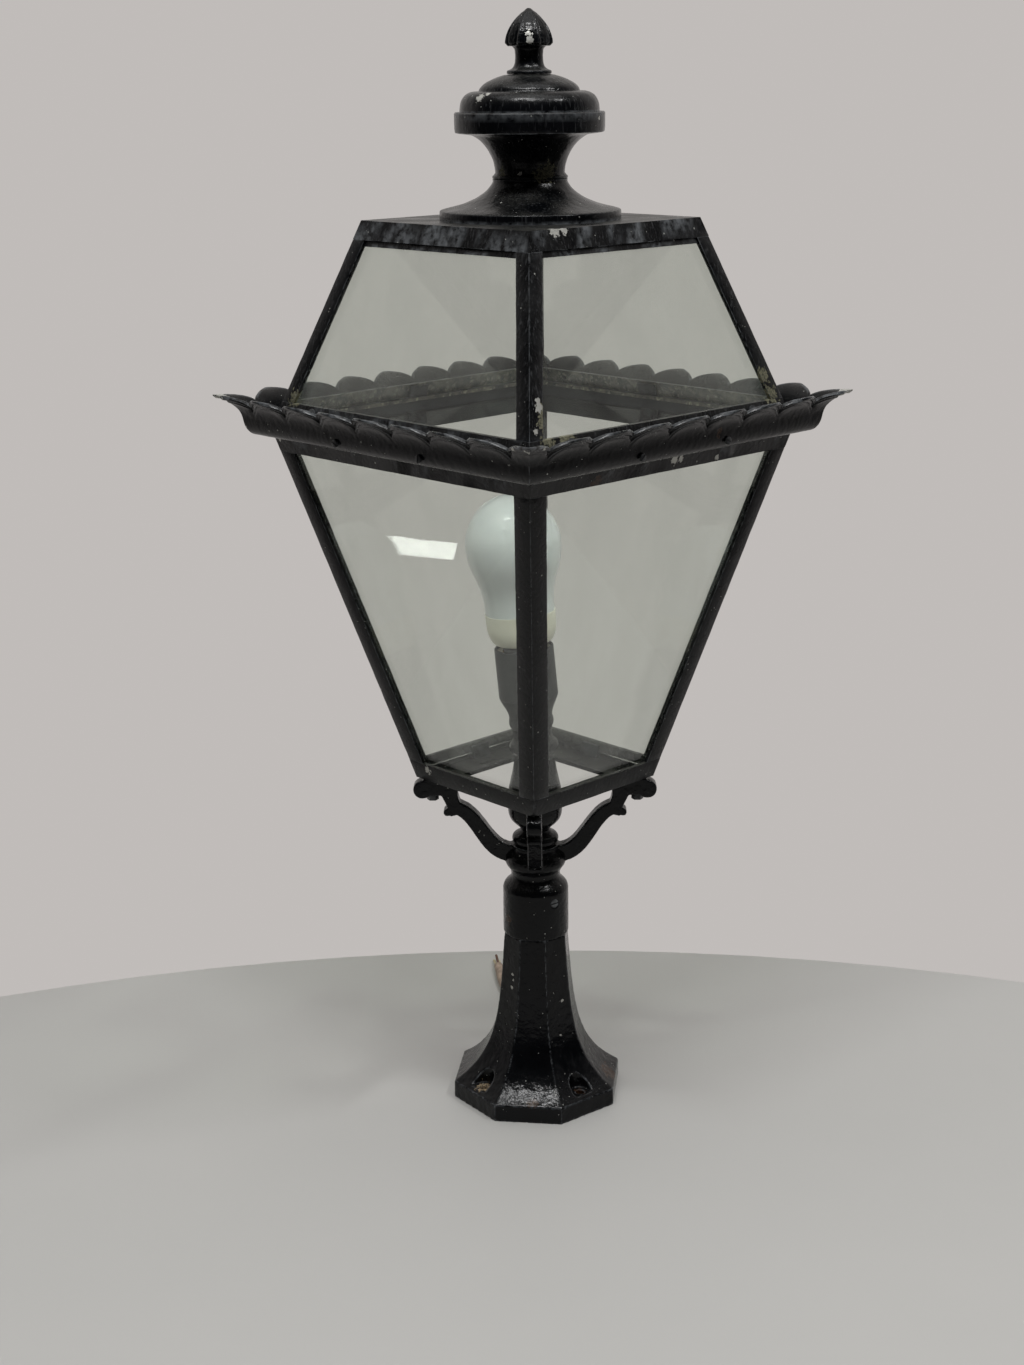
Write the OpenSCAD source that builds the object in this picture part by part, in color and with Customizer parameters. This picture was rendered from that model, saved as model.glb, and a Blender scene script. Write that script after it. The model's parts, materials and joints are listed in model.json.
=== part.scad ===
// Pedestal street lantern: an octagonal cast foot, a four-armed bracket, a tapered glazed
// body, a mitred gallery with leaf cresting, and a hinged glazed roof under a turned finial.
// Millimetres. +Z is up, and the origin is on the axis, at the underside of the foot.
// The sides face east (+X), north (+Y), west (-X) and south (-Y).

/* [Pedestal] */
// Width of the octagonal foot across its flats
foot_flats = 115; // [112:1:118]
// Height of the upright rim around the foot
rim_h = 12.5; // [11:0.5:14]
// Height of the shaft's shoulder, where the collar stands
shoulder_z = 124; // [116:1:132]
// Corner radius of the octagonal shaft at the shoulder
shaft_top_r = 23.3; // [22.5:0.1:24]
// Growth of the shaft's corner radius per millimetre downwards
shaft_taper = 0.06; // [0.04:0.01:0.07]
// Height over which the flare of the foot dies away
flare_decay = 20; // [18:1:21]
// Turn of the pedestal under the lantern
pedestal_turn = -6.2; // [-20:0.1:20]
// Radius of the round spigot that the collar turns on
spigot_r = 18.5; // [17:0.1:19]
// Diameter of the circle of the anchor bolt holes
anchor_pcd = 98; // [96:1:100]
// Diameter of the anchor bolt holes
anchor_d = 6; // [5:0.5:7]
// Diameter of the flat spot faced around each anchor hole
anchor_spot_d = 15; // [13:0.5:16]

/* [Bracket] */
// Outer radius of the collar
collar_r = 23.2; // [22.5:0.1:24]
// Radial clearance between collar and spigot
turn_gap = 0.08; // [0.03:0.01:0.1]
// Width of each arm
arm_w = 10; // [8:0.5:12]
// Radius of the circle of the arm bolts
arm_bolt_r = 71.7; // [70:0.1:73]
// Diameter of the arm bolts
arm_bolt_d = 5; // [4:0.5:5]

/* [Lower body] */
// Height of the underside of the lower body
lower_z0 = 239.3; // [236:0.1:242]
// Height of the top of the lower body
lower_z1 = 483.5; // [480:0.1:486]
// Half of the outer width at the underside
lower_foot_half = 58.6; // [57.5:0.1:60]
// Half of the outer width at the top
lower_top_half = 122.5; // [121:0.1:122.5]
// Height of the face of a frame bar
bar_h = 13; // [11:0.5:15]
// Thickness of the frame's walls
frame_t = 3; // [2.5:0.1:3]
// Leg width of a lower corner post
lower_leg = 14; // [12:0.5:15]
// Half of the square opening in the bottom ring
bottom_open_half = 34; // [32:0.5:38]
// Thickness of the panes
glass_t = 3; // [2.5:0.1:3]

/* [Gallery] */
// Number of whole leaves along a side
leaves = 7; // [5:2:7]
// Spacing of the leaves
leaf_pitch = 35; // [34:0.5:36]
// Height of the notches between leaves
notch_z = 501.5; // [500:0.5:503]
// Height of the leaf tips
leaf_top_z = 508.6; // [507:0.1:509]
// Half of the width across the leaf tips
gallery_half = 150.4; // [149:0.1:152]

/* [Roof] */
// Height of the underside of the roof frame
roof_z0 = 491; // [490.9:0.1:491.5]
// Height of the top of the roof
roof_z1 = 620.8; // [615:0.1:625]
// Half of the outer width at the roof's underside
roof_foot_half = 121.5; // [121:0.1:122]
// Half of the outer width of the roof's top
roof_top_half = 77.6; // [75:0.1:80]
// Leg width of a roof corner post
roof_leg = 11.5; // [10:0.5:13]
// Distance of the roof hinge's pin from the axis
hinge_x = 127; // [126.8:0.1:127.2]
// Height of the roof hinge's pin
hinge_z = 494.6; // [494.4:0.1:494.8]
// Distance of each hinge from the middle of its side
hinge_y = 60; // [40:1:80]

/* [Finial] */
// Radius of the finial's base disc
finial_base_r = 58.8; // [56:0.1:62]
// Radius of the finial's waist
finial_waist_r = 22.4; // [21:0.1:25]
// Radius of the broad band
finial_band_r = 48.3; // [46:0.1:50]
// Height of the finial's tip
tip_z = 750.4; // [748:0.1:753]

/* [Lampholder and bulb] */
// Lean of the lampholder and bulb
holder_lean = 5.1; // [0:0.1:6]
// Direction in which they lean, from +X towards +Y
lean_azimuth = -135; // [-180:5:180]
// Height of the point where the lean starts
lean_z = 257; // [255:1:259]
// Outer radius of the lampholder's skirt
skirt_r = 19.4; // [19.2:0.1:20]
// Widest radius of the bulb's glass
bulb_r = 31.8; // [30:0.1:33]

/* [Hidden] */
$fn = 72;

SIDES = ["east", "north", "west", "south"];
CORNERS = ["ne", "nw", "sw", "se"];

BLACK = "#1b1c1e";
GLASS = [0.8, 0.86, 0.84, 0.3];
STEEL = "#8d8f92";
BRASS = "#b5923f";

eps = 0.01;
foot_r = foot_flats / 2 / cos(22.5);
flare_out = foot_r - shaft_top_r - shaft_taper * (shoulder_z - rim_h);
spigot_top = 160;
collar_z0 = shoulder_z + 0.2;
collar_z1 = 157;
hub_top = 190;
post_z0 = lower_z0 + bar_h;
post_z1 = lower_z1 - bar_h;
gallery_floor_z = roof_z0 - 0.4;
gallery_z0 = lower_z1 - 2;
fascia_h = 12;
plate_t = 3;
lead_r = 3;
cord_r = 3.5;
cord_sides = 10;
exit_z = 6.5;
exit_azimuth = 135;
grommet_flange = 1.5;
tube_bore = 3.6;
glass_gap = 0.2;
pane_edge = 7;
hinge_knuckle_r = 2.8;
hinge_pin_r = 1.4;
leaf_w = 24;
seat_in = 115;
seat_out = 124;
gallery_screw_y = 40;
gallery_screw_z = 487;
gallery_screw_x = 135.6;
rail_screw_y = 84;
rail_screw_z = 499;
grub_z = 151;
grub_azimuth = -9;
pane_lift = 4;
scroll_u = 78.6;
scroll_z = 231;
scroll_r = 6.6;
bolt_seat_z = scroll_z - 4.5;
bolt_head_r = 4.2;

// The frame of each glazed body: reference height, half width there, and slope
LOWER = [lower_z0, lower_foot_half, (lower_top_half - lower_foot_half) / (lower_z1 - lower_z0)];
ROOF = [roof_z0, roof_foot_half, (roof_top_half - roof_foot_half) / (roof_z1 - roof_z0)];

// The supply lead's route behind the foot, from the grommet to the cut end of the sheath
CORD_ROUTE = [
    [-37, 46, 6.5], [-42, 52, 6], [-48, 59, 5], [-56, 66, 4], [-65, 71, 3.6],
    [-75, 75, 3.6], [-86, 78, 3.6], [-97, 81, 3.6], [-108, 84, 3.6], [-119, 88, 3.6],
    [-130, 93, 3.6], [-141, 100, 3.6], [-152, 108, 3.6], [-162, 116, 3.6], [-166, 119, 3.6]
];

// The lead's route inside the foot, from the grommet up to the top of the spigot
LEAD_ROUTE = [
    [-37, 46, 6.5], [-31, 38.5, 6.5], [-25, 31, 6.6], [-18, 22, 9], [-11, 13, 15],
    [-5, 6, 26], [-1, 1, 42], [0, 0, 60], [0, 0, 90], [0, 0, 120], [0, 0, spigot_top + 1]
];

// Curves
function half_at(body, z) = body[1] + (z - body[0]) * body[2];
function inset(body, t) = t * sqrt(1 + body[2] * body[2]);
function arc_pts(c, r, a0, a1, n) =
    [for (i = [0 : n]) let (a = a0 + (a1 - a0) * i / n) c + r * [cos(a), sin(a)]];
function bez(p, n) =
    [for (i = [0 : n]) let (t = i / n, s = 1 - t)
        s * s * s * p[0] + 3 * s * s * t * p[1] + 3 * s * t * t * p[2] + t * t * t * p[3]];
function reversed(a) = [for (i = [len(a) - 1 : -1 : 0]) a[i]];
function mirrored_x(a) = concat(a, [for (p = reversed(a)) [-p[0], p[1]]]);
function unit(v) = v / norm(v);

// The corner radius of the octagonal shaft at height z
function shaft_r(z) = shaft_top_r + shaft_taper * (shoulder_z - z)
    + flare_out * exp(-(z - rim_h) / flare_decay);

// Sweeps a round section along points and closes its ends
function frame_dir(path, i) = unit(path[min(i + 1, len(path) - 1)] - path[max(i - 1, 0)]);
function ring_pts(c, d, r, n) =
    let (u = unit(cross(abs(d[2]) > 0.9 ? [1, 0, 0] : [0, 0, 1], d)), v = cross(d, u))
    [for (k = [0 : n - 1]) c + r * (cos(360 * k / n) * u + sin(360 * k / n) * v)];
module sweep(path, r, n) {
    m = len(path);
    points = [for (i = [0 : m - 1]) each ring_pts(path[i], frame_dir(path, i), r, n)];
    walls = [for (i = [0 : m - 2]) for (k = [0 : n - 1])
        let (a = i * n + k, b = i * n + (k + 1) % n) each [[a, a + n, b + n], [a, b + n, b]]];
    ends = [[for (k = [0 : n - 1]) k], [for (k = [n - 1 : -1 : 0]) (m - 1) * n + k]];
    polyhedron(points, concat(walls, ends));
}

// Solids shared by the two glazed bodies
module prism_y(pts, half) {
    rotate([90, 0, 0]) linear_extrude(2 * half, center = true) polygon(pts);
}
module frustum(b0, z0, b1, z1) {
    section = [[-b0, z0], [b0, z0], [b1, z1], [-b1, z1]];
    intersection() {
        prism_y(section, max(b0, b1) + 1);
        rotate([0, 0, 90]) prism_y(section, max(b0, b1) + 1);
    }
}
// A band of the body's wall between two heights, from depth d0 to depth d1 under the face
module wall_band(body, z0, z1, d0, d1) {
    i0 = inset(body, d0);
    i1 = inset(body, d1);
    difference() {
        frustum(half_at(body, z0) - i0, z0, half_at(body, z1) - i0, z1);
        frustum(half_at(body, z0 - 1) - i1, z0 - 1, half_at(body, z1 + 1) - i1, z1 + 1);
    }
}
// A strip that follows the slope of the east face between two heights
module face_strip(body, z0, z1, d0, d1, half_w) {
    i0 = inset(body, d0);
    i1 = inset(body, d1);
    prism_y([[half_at(body, z0) - i1, z0], [half_at(body, z0) - i0, z0],
        [half_at(body, z1) - i0, z1], [half_at(body, z1) - i1, z1]], half_w);
}
// An L-section post in the north-east corner
module corner_post(body, z0, z1, leg) {
    i1 = inset(body, frame_t);
    difference() {
        intersection() {
            face_strip(body, z0, z1, 0, leg / inset(body, 1), 200);
            rotate([0, 0, 90]) face_strip(body, z0, z1, 0, leg / inset(body, 1), 200);
        }
        frustum(half_at(body, z0 - 1) - i1, z0 - 1, half_at(body, z1 + 1) - i1, z1 + 1);
    }
}
// A tapered pane behind the east face
module pane(body, z0, z1) {
    e0 = half_at(body, z0) - pane_edge;
    e1 = half_at(body, z1) - pane_edge;
    intersection() {
        face_strip(body, z0, z1, frame_t + glass_gap, frame_t + glass_gap + glass_t, 200);
        rotate([0, 0, 90]) prism_y([[-e0, z0], [e0, z0], [e1, z1], [-e1, z1]], 200);
    }
}

// Pedestal
module pedestal_turned() { rotate([0, 0, pedestal_turn]) children(); }
// The upright rim and the flared shaft above it, as the common part of four turned prisms
module octagonal_foot() {
    steps = 18;
    flare = [for (i = [0 : steps]) let (z = rim_h + (shoulder_z - rim_h) * pow(i / steps, 1.5))
        [shaft_r(z) * cos(22.5), z]];
    intersection_for(k = [0 : 3]) rotate([0, 0, 45 * k])
        prism_y(mirrored_x(concat([[foot_flats / 2, 0]], flare)), foot_r + 1);
}
module foot_hollow() {
    cavity = bez([[36, -1], [30, 22], [15, 34], [14, 80]], 10);
    rotate_extrude() polygon(concat([[0, -1]], cavity, [[14, spigot_top + 1], [0, spigot_top + 1]]));
}
module pedestal_column() {
    spot_z = rim_h + 2;
    color(BLACK) pedestal_turned() difference() {
        union() {
            octagonal_foot();
            translate([0, 0, rim_h]) cylinder(r = spigot_r, h = spigot_top - rim_h);
        }
        foot_hollow();
        for (k = [0 : 3]) rotate([0, 0, 90 * k]) translate([anchor_pcd / 2, 0, 0]) {
            translate([0, 0, -1]) cylinder(d = anchor_d, h = spot_z + 10);
            translate([0, 0, spot_z]) cylinder(d = anchor_spot_d, h = 60);
            translate([-1, -anchor_spot_d / 2, spot_z]) cube([20, anchor_spot_d, 60]);
        }
        rotate([0, 0, exit_azimuth]) translate([20, 0, exit_z]) rotate([0, 90, 0])
            cylinder(r = 5.5, h = 60);
    }
}
module cable_grommet() {
    face = foot_flats / 2;
    color("#141414") pedestal_turned() rotate([0, 0, exit_azimuth]) translate([0, 0, exit_z])
        rotate([0, 90, 0]) difference() {
            union() {
                translate([0, 0, face - 10]) cylinder(r = 5.4, h = 10);
                translate([0, 0, face]) cylinder(r = 6.2, h = grommet_flange);
            }
            translate([0, 0, face - 11]) cylinder(r = cord_r + 0.1, h = 14);
        }
}
module supply_cord() { color("#cdbba6") sweep(CORD_ROUTE, cord_r, cord_sides); }
module cord_cores() {
    last = CORD_ROUTE[len(CORD_ROUTE) - 1];
    heading = atan2(0.6, -0.8);
    for (k = [0 : 2]) color(["#6b452c", "#d8cfae", "#c9c39b"][k])
        translate(last) rotate([0, 0, heading]) rotate([0, 90, 0])
            translate([1.6 * cos(90 + 120 * k), 1.6 * sin(90 + 120 * k), 0.3])
                cylinder(r = 1.1, h = 15 - 2 * k, $fn = 24);
}
module lead_lower() { color("#cdbba6") sweep(LEAD_ROUTE, lead_r, cord_sides); }

// Bracket
module hub_profile() {
    shoulder = bez([[collar_r, collar_z1], [22.6, 163], [17.2, 162], [17.2, 167.5]], 6);
    flare = bez([[17.2, 167.5], [17.2, 173], [21.5, 173], [21.5, 178]], 5);
    top = bez([[21.5, 178], [21.5, 185], [17, 184], [17, hub_top - 3]], 5);
    socket = spigot_r + turn_gap;
    polygon(concat([[socket, collar_z0], [collar_r, collar_z0]], shoulder, flare, top,
        [[17, hub_top], [6.2, hub_top], [6.2, 168], [8, 168], [8, 161.5], [socket, 161.5]]));
}
// The centre line of an arm rises as an S-curve; its half thickness shrinks outwards
arm_line = bez([[14, 183], [36, 182], [38, 213], [56, 217.5]], 14);
function arm_normal(i) =
    let (d = unit(arm_line[min(i + 1, 14)] - arm_line[max(i - 1, 0)])) [-d[1], d[0]];
function arm_half(i) = 6.3 - 1.6 * i / 14;
module arm_outline() {
    upper = [for (i = [0 : 14]) arm_line[i] + arm_half(i) * arm_normal(i)];
    lower = [for (i = [14 : -1 : 0]) arm_line[i] - arm_half(i) * arm_normal(i)];
    polygon(concat(upper, lower));
    polygon([[50.5, 213], [59.2, 211], [61, 217], [65.5, bolt_seat_z], [78, bolt_seat_z],
        [78, lower_z0], [54, lower_z0], [54, bolt_seat_z]]);
    translate([scroll_u, scroll_z]) circle(r = scroll_r);
    translate([61.5, 214]) circle(r = 2.8);
}
module head_bracket() {
    color(BLACK) difference() {
        union() {
            rotate_extrude() hub_profile();
            for (k = [0 : 3]) rotate([0, 0, 45 + 90 * k]) difference() {
                rotate([90, 0, 0]) linear_extrude(arm_w, center = true) arm_outline();
                cylinder(r = 12, h = 300);
            }
        }
        for (k = [0 : 3]) rotate([0, 0, 45 + 90 * k]) translate([arm_bolt_r, 0, 200]) {
            cylinder(d = arm_bolt_d + 0.4, h = 60);
            cylinder(r = bolt_head_r + 0.4, h = bolt_seat_z - 200);
        }
        for (k = [0, 1]) rotate([0, 0, 180 * k + grub_azimuth]) translate([10, 0, grub_z])
            rotate([0, 90, 0]) cylinder(r = 3.1, h = 20);
    }
}
module collar_screws() {
    color(STEEL) for (k = [0, 1]) rotate([0, 0, 180 * k + grub_azimuth])
        translate([0, 0, grub_z]) rotate([0, 90, 0]) difference() {
            translate([0, 0, spigot_r + 0.2]) cylinder(r = 3, h = 4.2);
            translate([-0.5, -4, 22]) cube([1, 8, 3]);
        }
}
module arm_bolts() {
    color(STEEL) for (k = [0 : 3]) rotate([0, 0, 45 + 90 * k]) translate([arm_bolt_r, 0, 0]) {
        translate([0, 0, bolt_seat_z - 3.8]) cylinder(r = bolt_head_r, h = 3.8, $fn = 6);
        translate([0, 0, bolt_seat_z - 3.8]) cylinder(d = arm_bolt_d, h = 25);
    }
}
module arm_nuts() {
    nut_z = lower_z0 + frame_t;
    color(STEEL) for (k = [0 : 3]) rotate([0, 0, 45 + 90 * k]) translate([arm_bolt_r, 0, nut_z])
        difference() {
            rotate([0, 0, 15]) cylinder(r = bolt_head_r, h = 3.6, $fn = 6);
            translate([0, 0, -1]) cylinder(r = arm_bolt_d / 2 + 0.02, h = 6);
        }
}

// Stem
module lathe(outer, bore) {
    rotate_extrude() polygon(concat([[bore, outer[0][1]]], outer, [[bore, outer[len(outer) - 1][1]]]));
}
module stem_tube() {
    color(STEEL) difference() {
        translate([0, 0, 172]) cylinder(r = 6, h = lean_z - 173);
        translate([0, 0, 171]) cylinder(r = tube_bore, h = 120);
    }
}
module stem_ring() {
    color(BLACK) lathe(concat([[14, hub_top]], arc_pts([12.4, 194], 4, -70, 80, 8), [[10.1, 200.5]]), 6.1);
}
module stem_cup() {
    color(BLACK) lathe(concat([[10.1, 200.5]], bez([[10.6, 202], [14, 206], [18.6, 207], [19, 215]], 8),
        bez([[19, 215], [19.3, 219], [18.4, 222], [18, 225]], 4)), 6.1);
}
module stem_vase() {
    color(BLACK) lathe(concat(bez([[18, 225], [17.6, 234], [14.8, 240], [12.9, 254]], 8),
        [[12.9, lean_z - 1.3]]), 6.1);
}
module leaning() {
    translate([0, 0, lean_z])
        rotate(a = holder_lean, v = [-sin(lean_azimuth), cos(lean_azimuth), 0])
            translate([0, 0, -lean_z]) children();
}
module stem_knob() {
    color(BLACK) leaning() lathe(concat([[12.2, lean_z]], arc_pts([11.6, 263], 4.6, -70, 70, 8),
        bez([[12.9, 268], [12.3, 271], [12.4, 274], [13.1, 276.8]], 5)), 6.1);
}
module holder_nipple() {
    color(STEEL) leaning() difference() {
        translate([0, 0, lean_z + 1]) cylinder(r = 6, h = 31);
        translate([0, 0, lean_z]) cylinder(r = tube_bore, h = 40);
    }
}
module lead_upper() {
    lean_dir = [sin(holder_lean) * cos(lean_azimuth), sin(holder_lean) * sin(lean_azimuth),
        cos(holder_lean)];
    route = concat([for (z = [spigot_top + 1, 190, 220, lean_z - 7]) [0, 0, z]],
        [for (t = [7, 24, 42]) [0, 0, lean_z] + t * lean_dir]);
    color("#cdbba6") sweep(route, lead_r, cord_sides);
}

// Lampholder
module lampholder_cap() {
    outer = concat(bez([[13.1, 276.8], [14.8, 279], [14.8, 281.5], [13.8, 285]], 5),
        bez([[13.8, 285], [14.6, 291], [17, 293], [skirt_r, 299.5]], 6));
    inner = [[skirt_r - 2, 299.5], [15, 296], [11.5, 287], [6.1, 287], [6.1, 276.8]];
    color("#2a2b2d") leaning() rotate_extrude() polygon(concat(outer, inner));
}
module lampholder_skirt() {
    color("#2a2b2d") leaning() rotate_extrude() polygon(concat(
        [[skirt_r - 1.6, 299.6], [skirt_r, 299.6], [skirt_r, 333.5]],
        arc_pts([skirt_r - 1, 334], 1, 0, 90, 3), [[skirt_r - 1.6, 335]]));
}
module lampholder_insert() {
    color("#d9d3c4") leaning() difference() {
        translate([0, 0, 300]) cylinder(r = skirt_r - 1.7, h = 33);
        translate([0, 0, 308]) cylinder(r = 14, h = 30);
        translate([0, 0, 299]) cylinder(r = 3.4, h = 12);
    }
}
module thread_shell() {
    color(BRASS) leaning() difference() {
        translate([0, 0, 312]) cylinder(r = 13.9, h = 20);
        translate([0, 0, 311]) cylinder(r = 13.3, h = 22);
    }
}
module centre_contact() {
    color(BRASS) leaning() translate([-3, -9, 308]) {
        cube([6, 18, 1]);
        translate([0, 5, 0]) cube([6, 8, 5.4]);
    }
}

// Lower body
module bottom_ring() {
    floor_half = half_at(LOWER, lower_z0);
    color(BLACK) difference() {
        union() {
            wall_band(LOWER, lower_z0, post_z0, 0, frame_t);
            frustum(floor_half, lower_z0, half_at(LOWER, lower_z0 + frame_t), lower_z0 + frame_t);
        }
        translate([0, 0, lower_z0]) cube([2 * bottom_open_half, 2 * bottom_open_half, 20], center = true);
        for (k = [0 : 3]) rotate([0, 0, 45 + 90 * k]) translate([arm_bolt_r, 0, lower_z0 - 1])
            cylinder(r = arm_bolt_d / 2 + 0.2, h = 6);
    }
}
module lower_post(k) {
    color(BLACK) rotate([0, 0, 90 * k]) corner_post(LOWER, post_z0, post_z1, lower_leg);
}
module top_ring() {
    bore = 1.7;
    color(BLACK) difference() {
        union() {
            wall_band(LOWER, post_z1, lower_z1, 0, frame_t);
            translate([0, 0, lower_z1]) linear_extrude(gallery_floor_z - lower_z1) difference() {
                square(2 * seat_out, center = true);
                square(2 * seat_in, center = true);
            }
        }
        for (k = [0 : 3]) rotate([0, 0, 90 * k]) for (s = [-1, 1])
            translate([seat_in + 2, gallery_screw_y * s, gallery_screw_z]) rotate([0, 90, 0])
                cylinder(r = bore, h = 20);
    }
}
module lower_glass(k) {
    color(GLASS) rotate([0, 0, 90 * k])
        pane(LOWER, lower_z0 + frame_t + pane_lift, lower_z1 - 2);
}
module glass_tab(body, z0, h) {
    behind = frame_t + glass_gap + glass_t + 0.1;
    face_strip(body, z0, z0 + h, behind, behind + 1.5, 8);
}
module lower_glass_clips() {
    sill_z = lower_z0 + frame_t;
    behind = frame_t + glass_gap + glass_t + 1;
    color(BLACK) for (k = [0 : 3]) rotate([0, 0, 90 * k]) {
        glass_tab(LOWER, sill_z, 9);
        face_strip(LOWER, sill_z, sill_z + pane_lift - glass_gap, frame_t + glass_gap, behind, 8);
        intersection() {
            glass_tab(LOWER, post_z1, bar_h);
            translate([100, -20, post_z1 + 3]) cube([40, 40, bar_h - 3]);
        }
    }
}

// Gallery
// Section of a side: the cyma face, the thin curled leaf and the floor of the gutter
module gallery_section() {
    lip_z = leaf_top_z - 1;
    belly = bez([[129.5, gallery_z0], [133.6, gallery_z0 + 0.3], [135.6, 486.5], [136.2, 492]], 6);
    curl = bez([[136.2, 492], [137.2, 500], [142.5, 506], [gallery_half, lip_z - 0.3]], 9);
    inner = bez([[gallery_half - 0.4, leaf_top_z], [141, 508.2], [134, 501], [132.9, 492.5]], 9);
    lap_x = seat_out + glass_gap;
    wall_x = lower_top_half + glass_gap;
    polygon(concat([[wall_x, gallery_z0]], belly, curl, inner,
        [[131.6, gallery_floor_z], [lap_x, gallery_floor_z], [lap_x, lower_z1 - 0.1],
         [wall_x, lower_z1 - 0.1]]));
}
// Outline of a side from the front, with the scalloped crest and half a corner leaf at each end
module gallery_elevation() {
    rise = leaf_top_z - notch_z;
    half_n = (leaves - 1) / 2;
    leaf_half = leaf_pitch / 2 - 0.2;
    corner_u = leaf_pitch * leaves / 2;
    corner_w = gallery_half - corner_u;
    crest = [for (i = [half_n : -1 : -half_n]) each
        [for (a = [0 : 15 : 180]) [i * leaf_pitch + leaf_half * cos(a), notch_z + rise * sin(a)]]];
    corner = [for (a = [90 : 15 : 180])
        [gallery_half + (corner_w - 0.2) * cos(a), notch_z + rise * sin(a)]];
    polygon(concat([[-gallery_half, gallery_z0 - 1], [gallery_half, gallery_z0 - 1]], corner, crest,
        [for (p = reversed(corner)) [-p[0], p[1]]]));
}
module gallery_side(k) {
    color(BLACK) rotate([0, 0, 90 * k]) difference() {
        intersection() {
            prism_y_section();
            rotate([0, 0, 90]) rotate([90, 0, 0]) linear_extrude(200) gallery_elevation();
            translate([0, 0, 470]) linear_extrude(50)
                polygon([[20, -20], [160, -160], [160, 160], [20, 20]]);
        }
        for (s = [-1, 1]) translate([0, gallery_screw_y * s, gallery_screw_z]) rotate([0, 90, 0]) {
            translate([0, 0, seat_out - 1]) cylinder(r = 1.7, h = 40);
            translate([0, 0, gallery_screw_x]) cylinder(r = 2.8, h = 5);
        }
    }
}
module prism_y_section() {
    rotate([90, 0, 0]) linear_extrude(2 * gallery_half + 10, center = true) gallery_section();
}
module gallery_screws() {
    color(STEEL) for (k = [0 : 3]) rotate([0, 0, 90 * k]) for (s = [-1, 1])
        translate([0, gallery_screw_y * s, gallery_screw_z]) rotate([0, 90, 0]) {
            translate([0, 0, seat_in + 2.5]) cylinder(r = 1.6, h = gallery_screw_x - seat_in - 2);
            translate([0, 0, gallery_screw_x]) cylinder(r = 2.6, h = 1.4);
        }
}

// Roof hinge, in the gutter of the west side
module at_hinges() {
    for (s = [-1, 1]) translate([-hinge_x, hinge_y * s, hinge_z]) rotate([90, 0, 0]) children();
}
module knuckle(from, to) {
    translate([0, 0, from]) difference() {
        cylinder(r = hinge_knuckle_r, h = to - from);
        translate([0, 0, -1]) cylinder(r = hinge_pin_r + 0.05, h = to - from + 2);
    }
}
module hinge_fixed_leaves() {
    plate_h = 1.2;
    color(STEEL) {
        at_hinges() { knuckle(-leaf_w / 2, -5); knuckle(5, leaf_w / 2); }
        for (s = [-1, 1]) for (e = [-1, 1])
            translate([-hinge_x - 3.5, hinge_y * s + e * 8.5 - 3.5, gallery_floor_z])
                cube([6, 7, plate_h + 0.6]);
        for (s = [-1, 1]) translate([-hinge_x - 3.5, hinge_y * s - leaf_w / 2, gallery_floor_z])
            cube([6, leaf_w, plate_h - 0.4]);
    }
}
module hinge_pins() {
    color(STEEL) at_hinges() {
        translate([0, 0, -leaf_w / 2 - 0.5]) cylinder(r = hinge_pin_r, h = leaf_w + 1);
        translate([0, 0, -leaf_w / 2 - 1.5]) cylinder(r = 2.2, h = 1.3);
    }
}
module hinge_moving_leaves() {
    color(STEEL) {
        at_hinges() knuckle(-4.7, 4.7);
        for (s = [-1, 1]) translate([0, hinge_y * s, 0]) {
            difference() {
                rotate([0, 0, 180]) face_strip(ROOF, 492.5, 500, -1.6, -0.1, 12);
                translate([-hinge_x, 0, 0]) translate([-9, -20, 480]) cube([12.2, 40, 40]);
            }
            translate([-hinge_x + 2.3, -4.7, hinge_z - 1]) cube([2.6, 9.4, 2]);
        }
    }
}

// Roof
module roof_ring() {
    rail_z1 = roof_z0 + bar_h - 0.5;
    color(BLACK) difference() {
        union() {
            wall_band(ROOF, roof_z0, rail_z1, 0, frame_t);
            difference() {
                frustum(half_at(ROOF, roof_z0), roof_z0, half_at(ROOF, roof_z0 + 2.5), roof_z0 + 2.5);
                translate([0, 0, roof_z0]) cube([222, 222, 10], center = true);
            }
        }
        for (k = [0 : 3]) rotate([0, 0, 90 * k]) for (s = [-1, 1])
            on_roof_face(rail_screw_y * s, rail_screw_z) translate([0, 0, -6])
                cylinder(r = 1.7, h = 12);
    }
}
// Places a part on the roof's east face, with its +Z along the face's outward normal
module on_roof_face(y, z) {
    translate([half_at(ROOF, z), y, z]) rotate([0, 90 + atan(ROOF[2]), 0]) children();
}
module roof_post(k) {
    color(BLACK) rotate([0, 0, 90 * k])
        corner_post(ROOF, roof_z0 + bar_h - 0.5, roof_z1 - fascia_h, roof_leg);
}
module roof_glass(k) {
    color(GLASS) rotate([0, 0, 90 * k]) pane(ROOF, roof_z0 + 2.8, roof_z1 - plate_t - 6);
}
module roof_clips_and_screws() {
    color(STEEL) for (k = [0 : 3]) rotate([0, 0, 90 * k]) {
        glass_tab(ROOF, roof_z0 + 2.5, 8);
        for (s = [-1, 1]) on_roof_face(rail_screw_y * s, rail_screw_z) {
            translate([0, 0, -frame_t]) cylinder(r = 1.6, h = frame_t + 0.1);
            translate([0, 0, 0.05]) cylinder(r = 3.2, h = 1.5);
        }
    }
}
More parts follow.
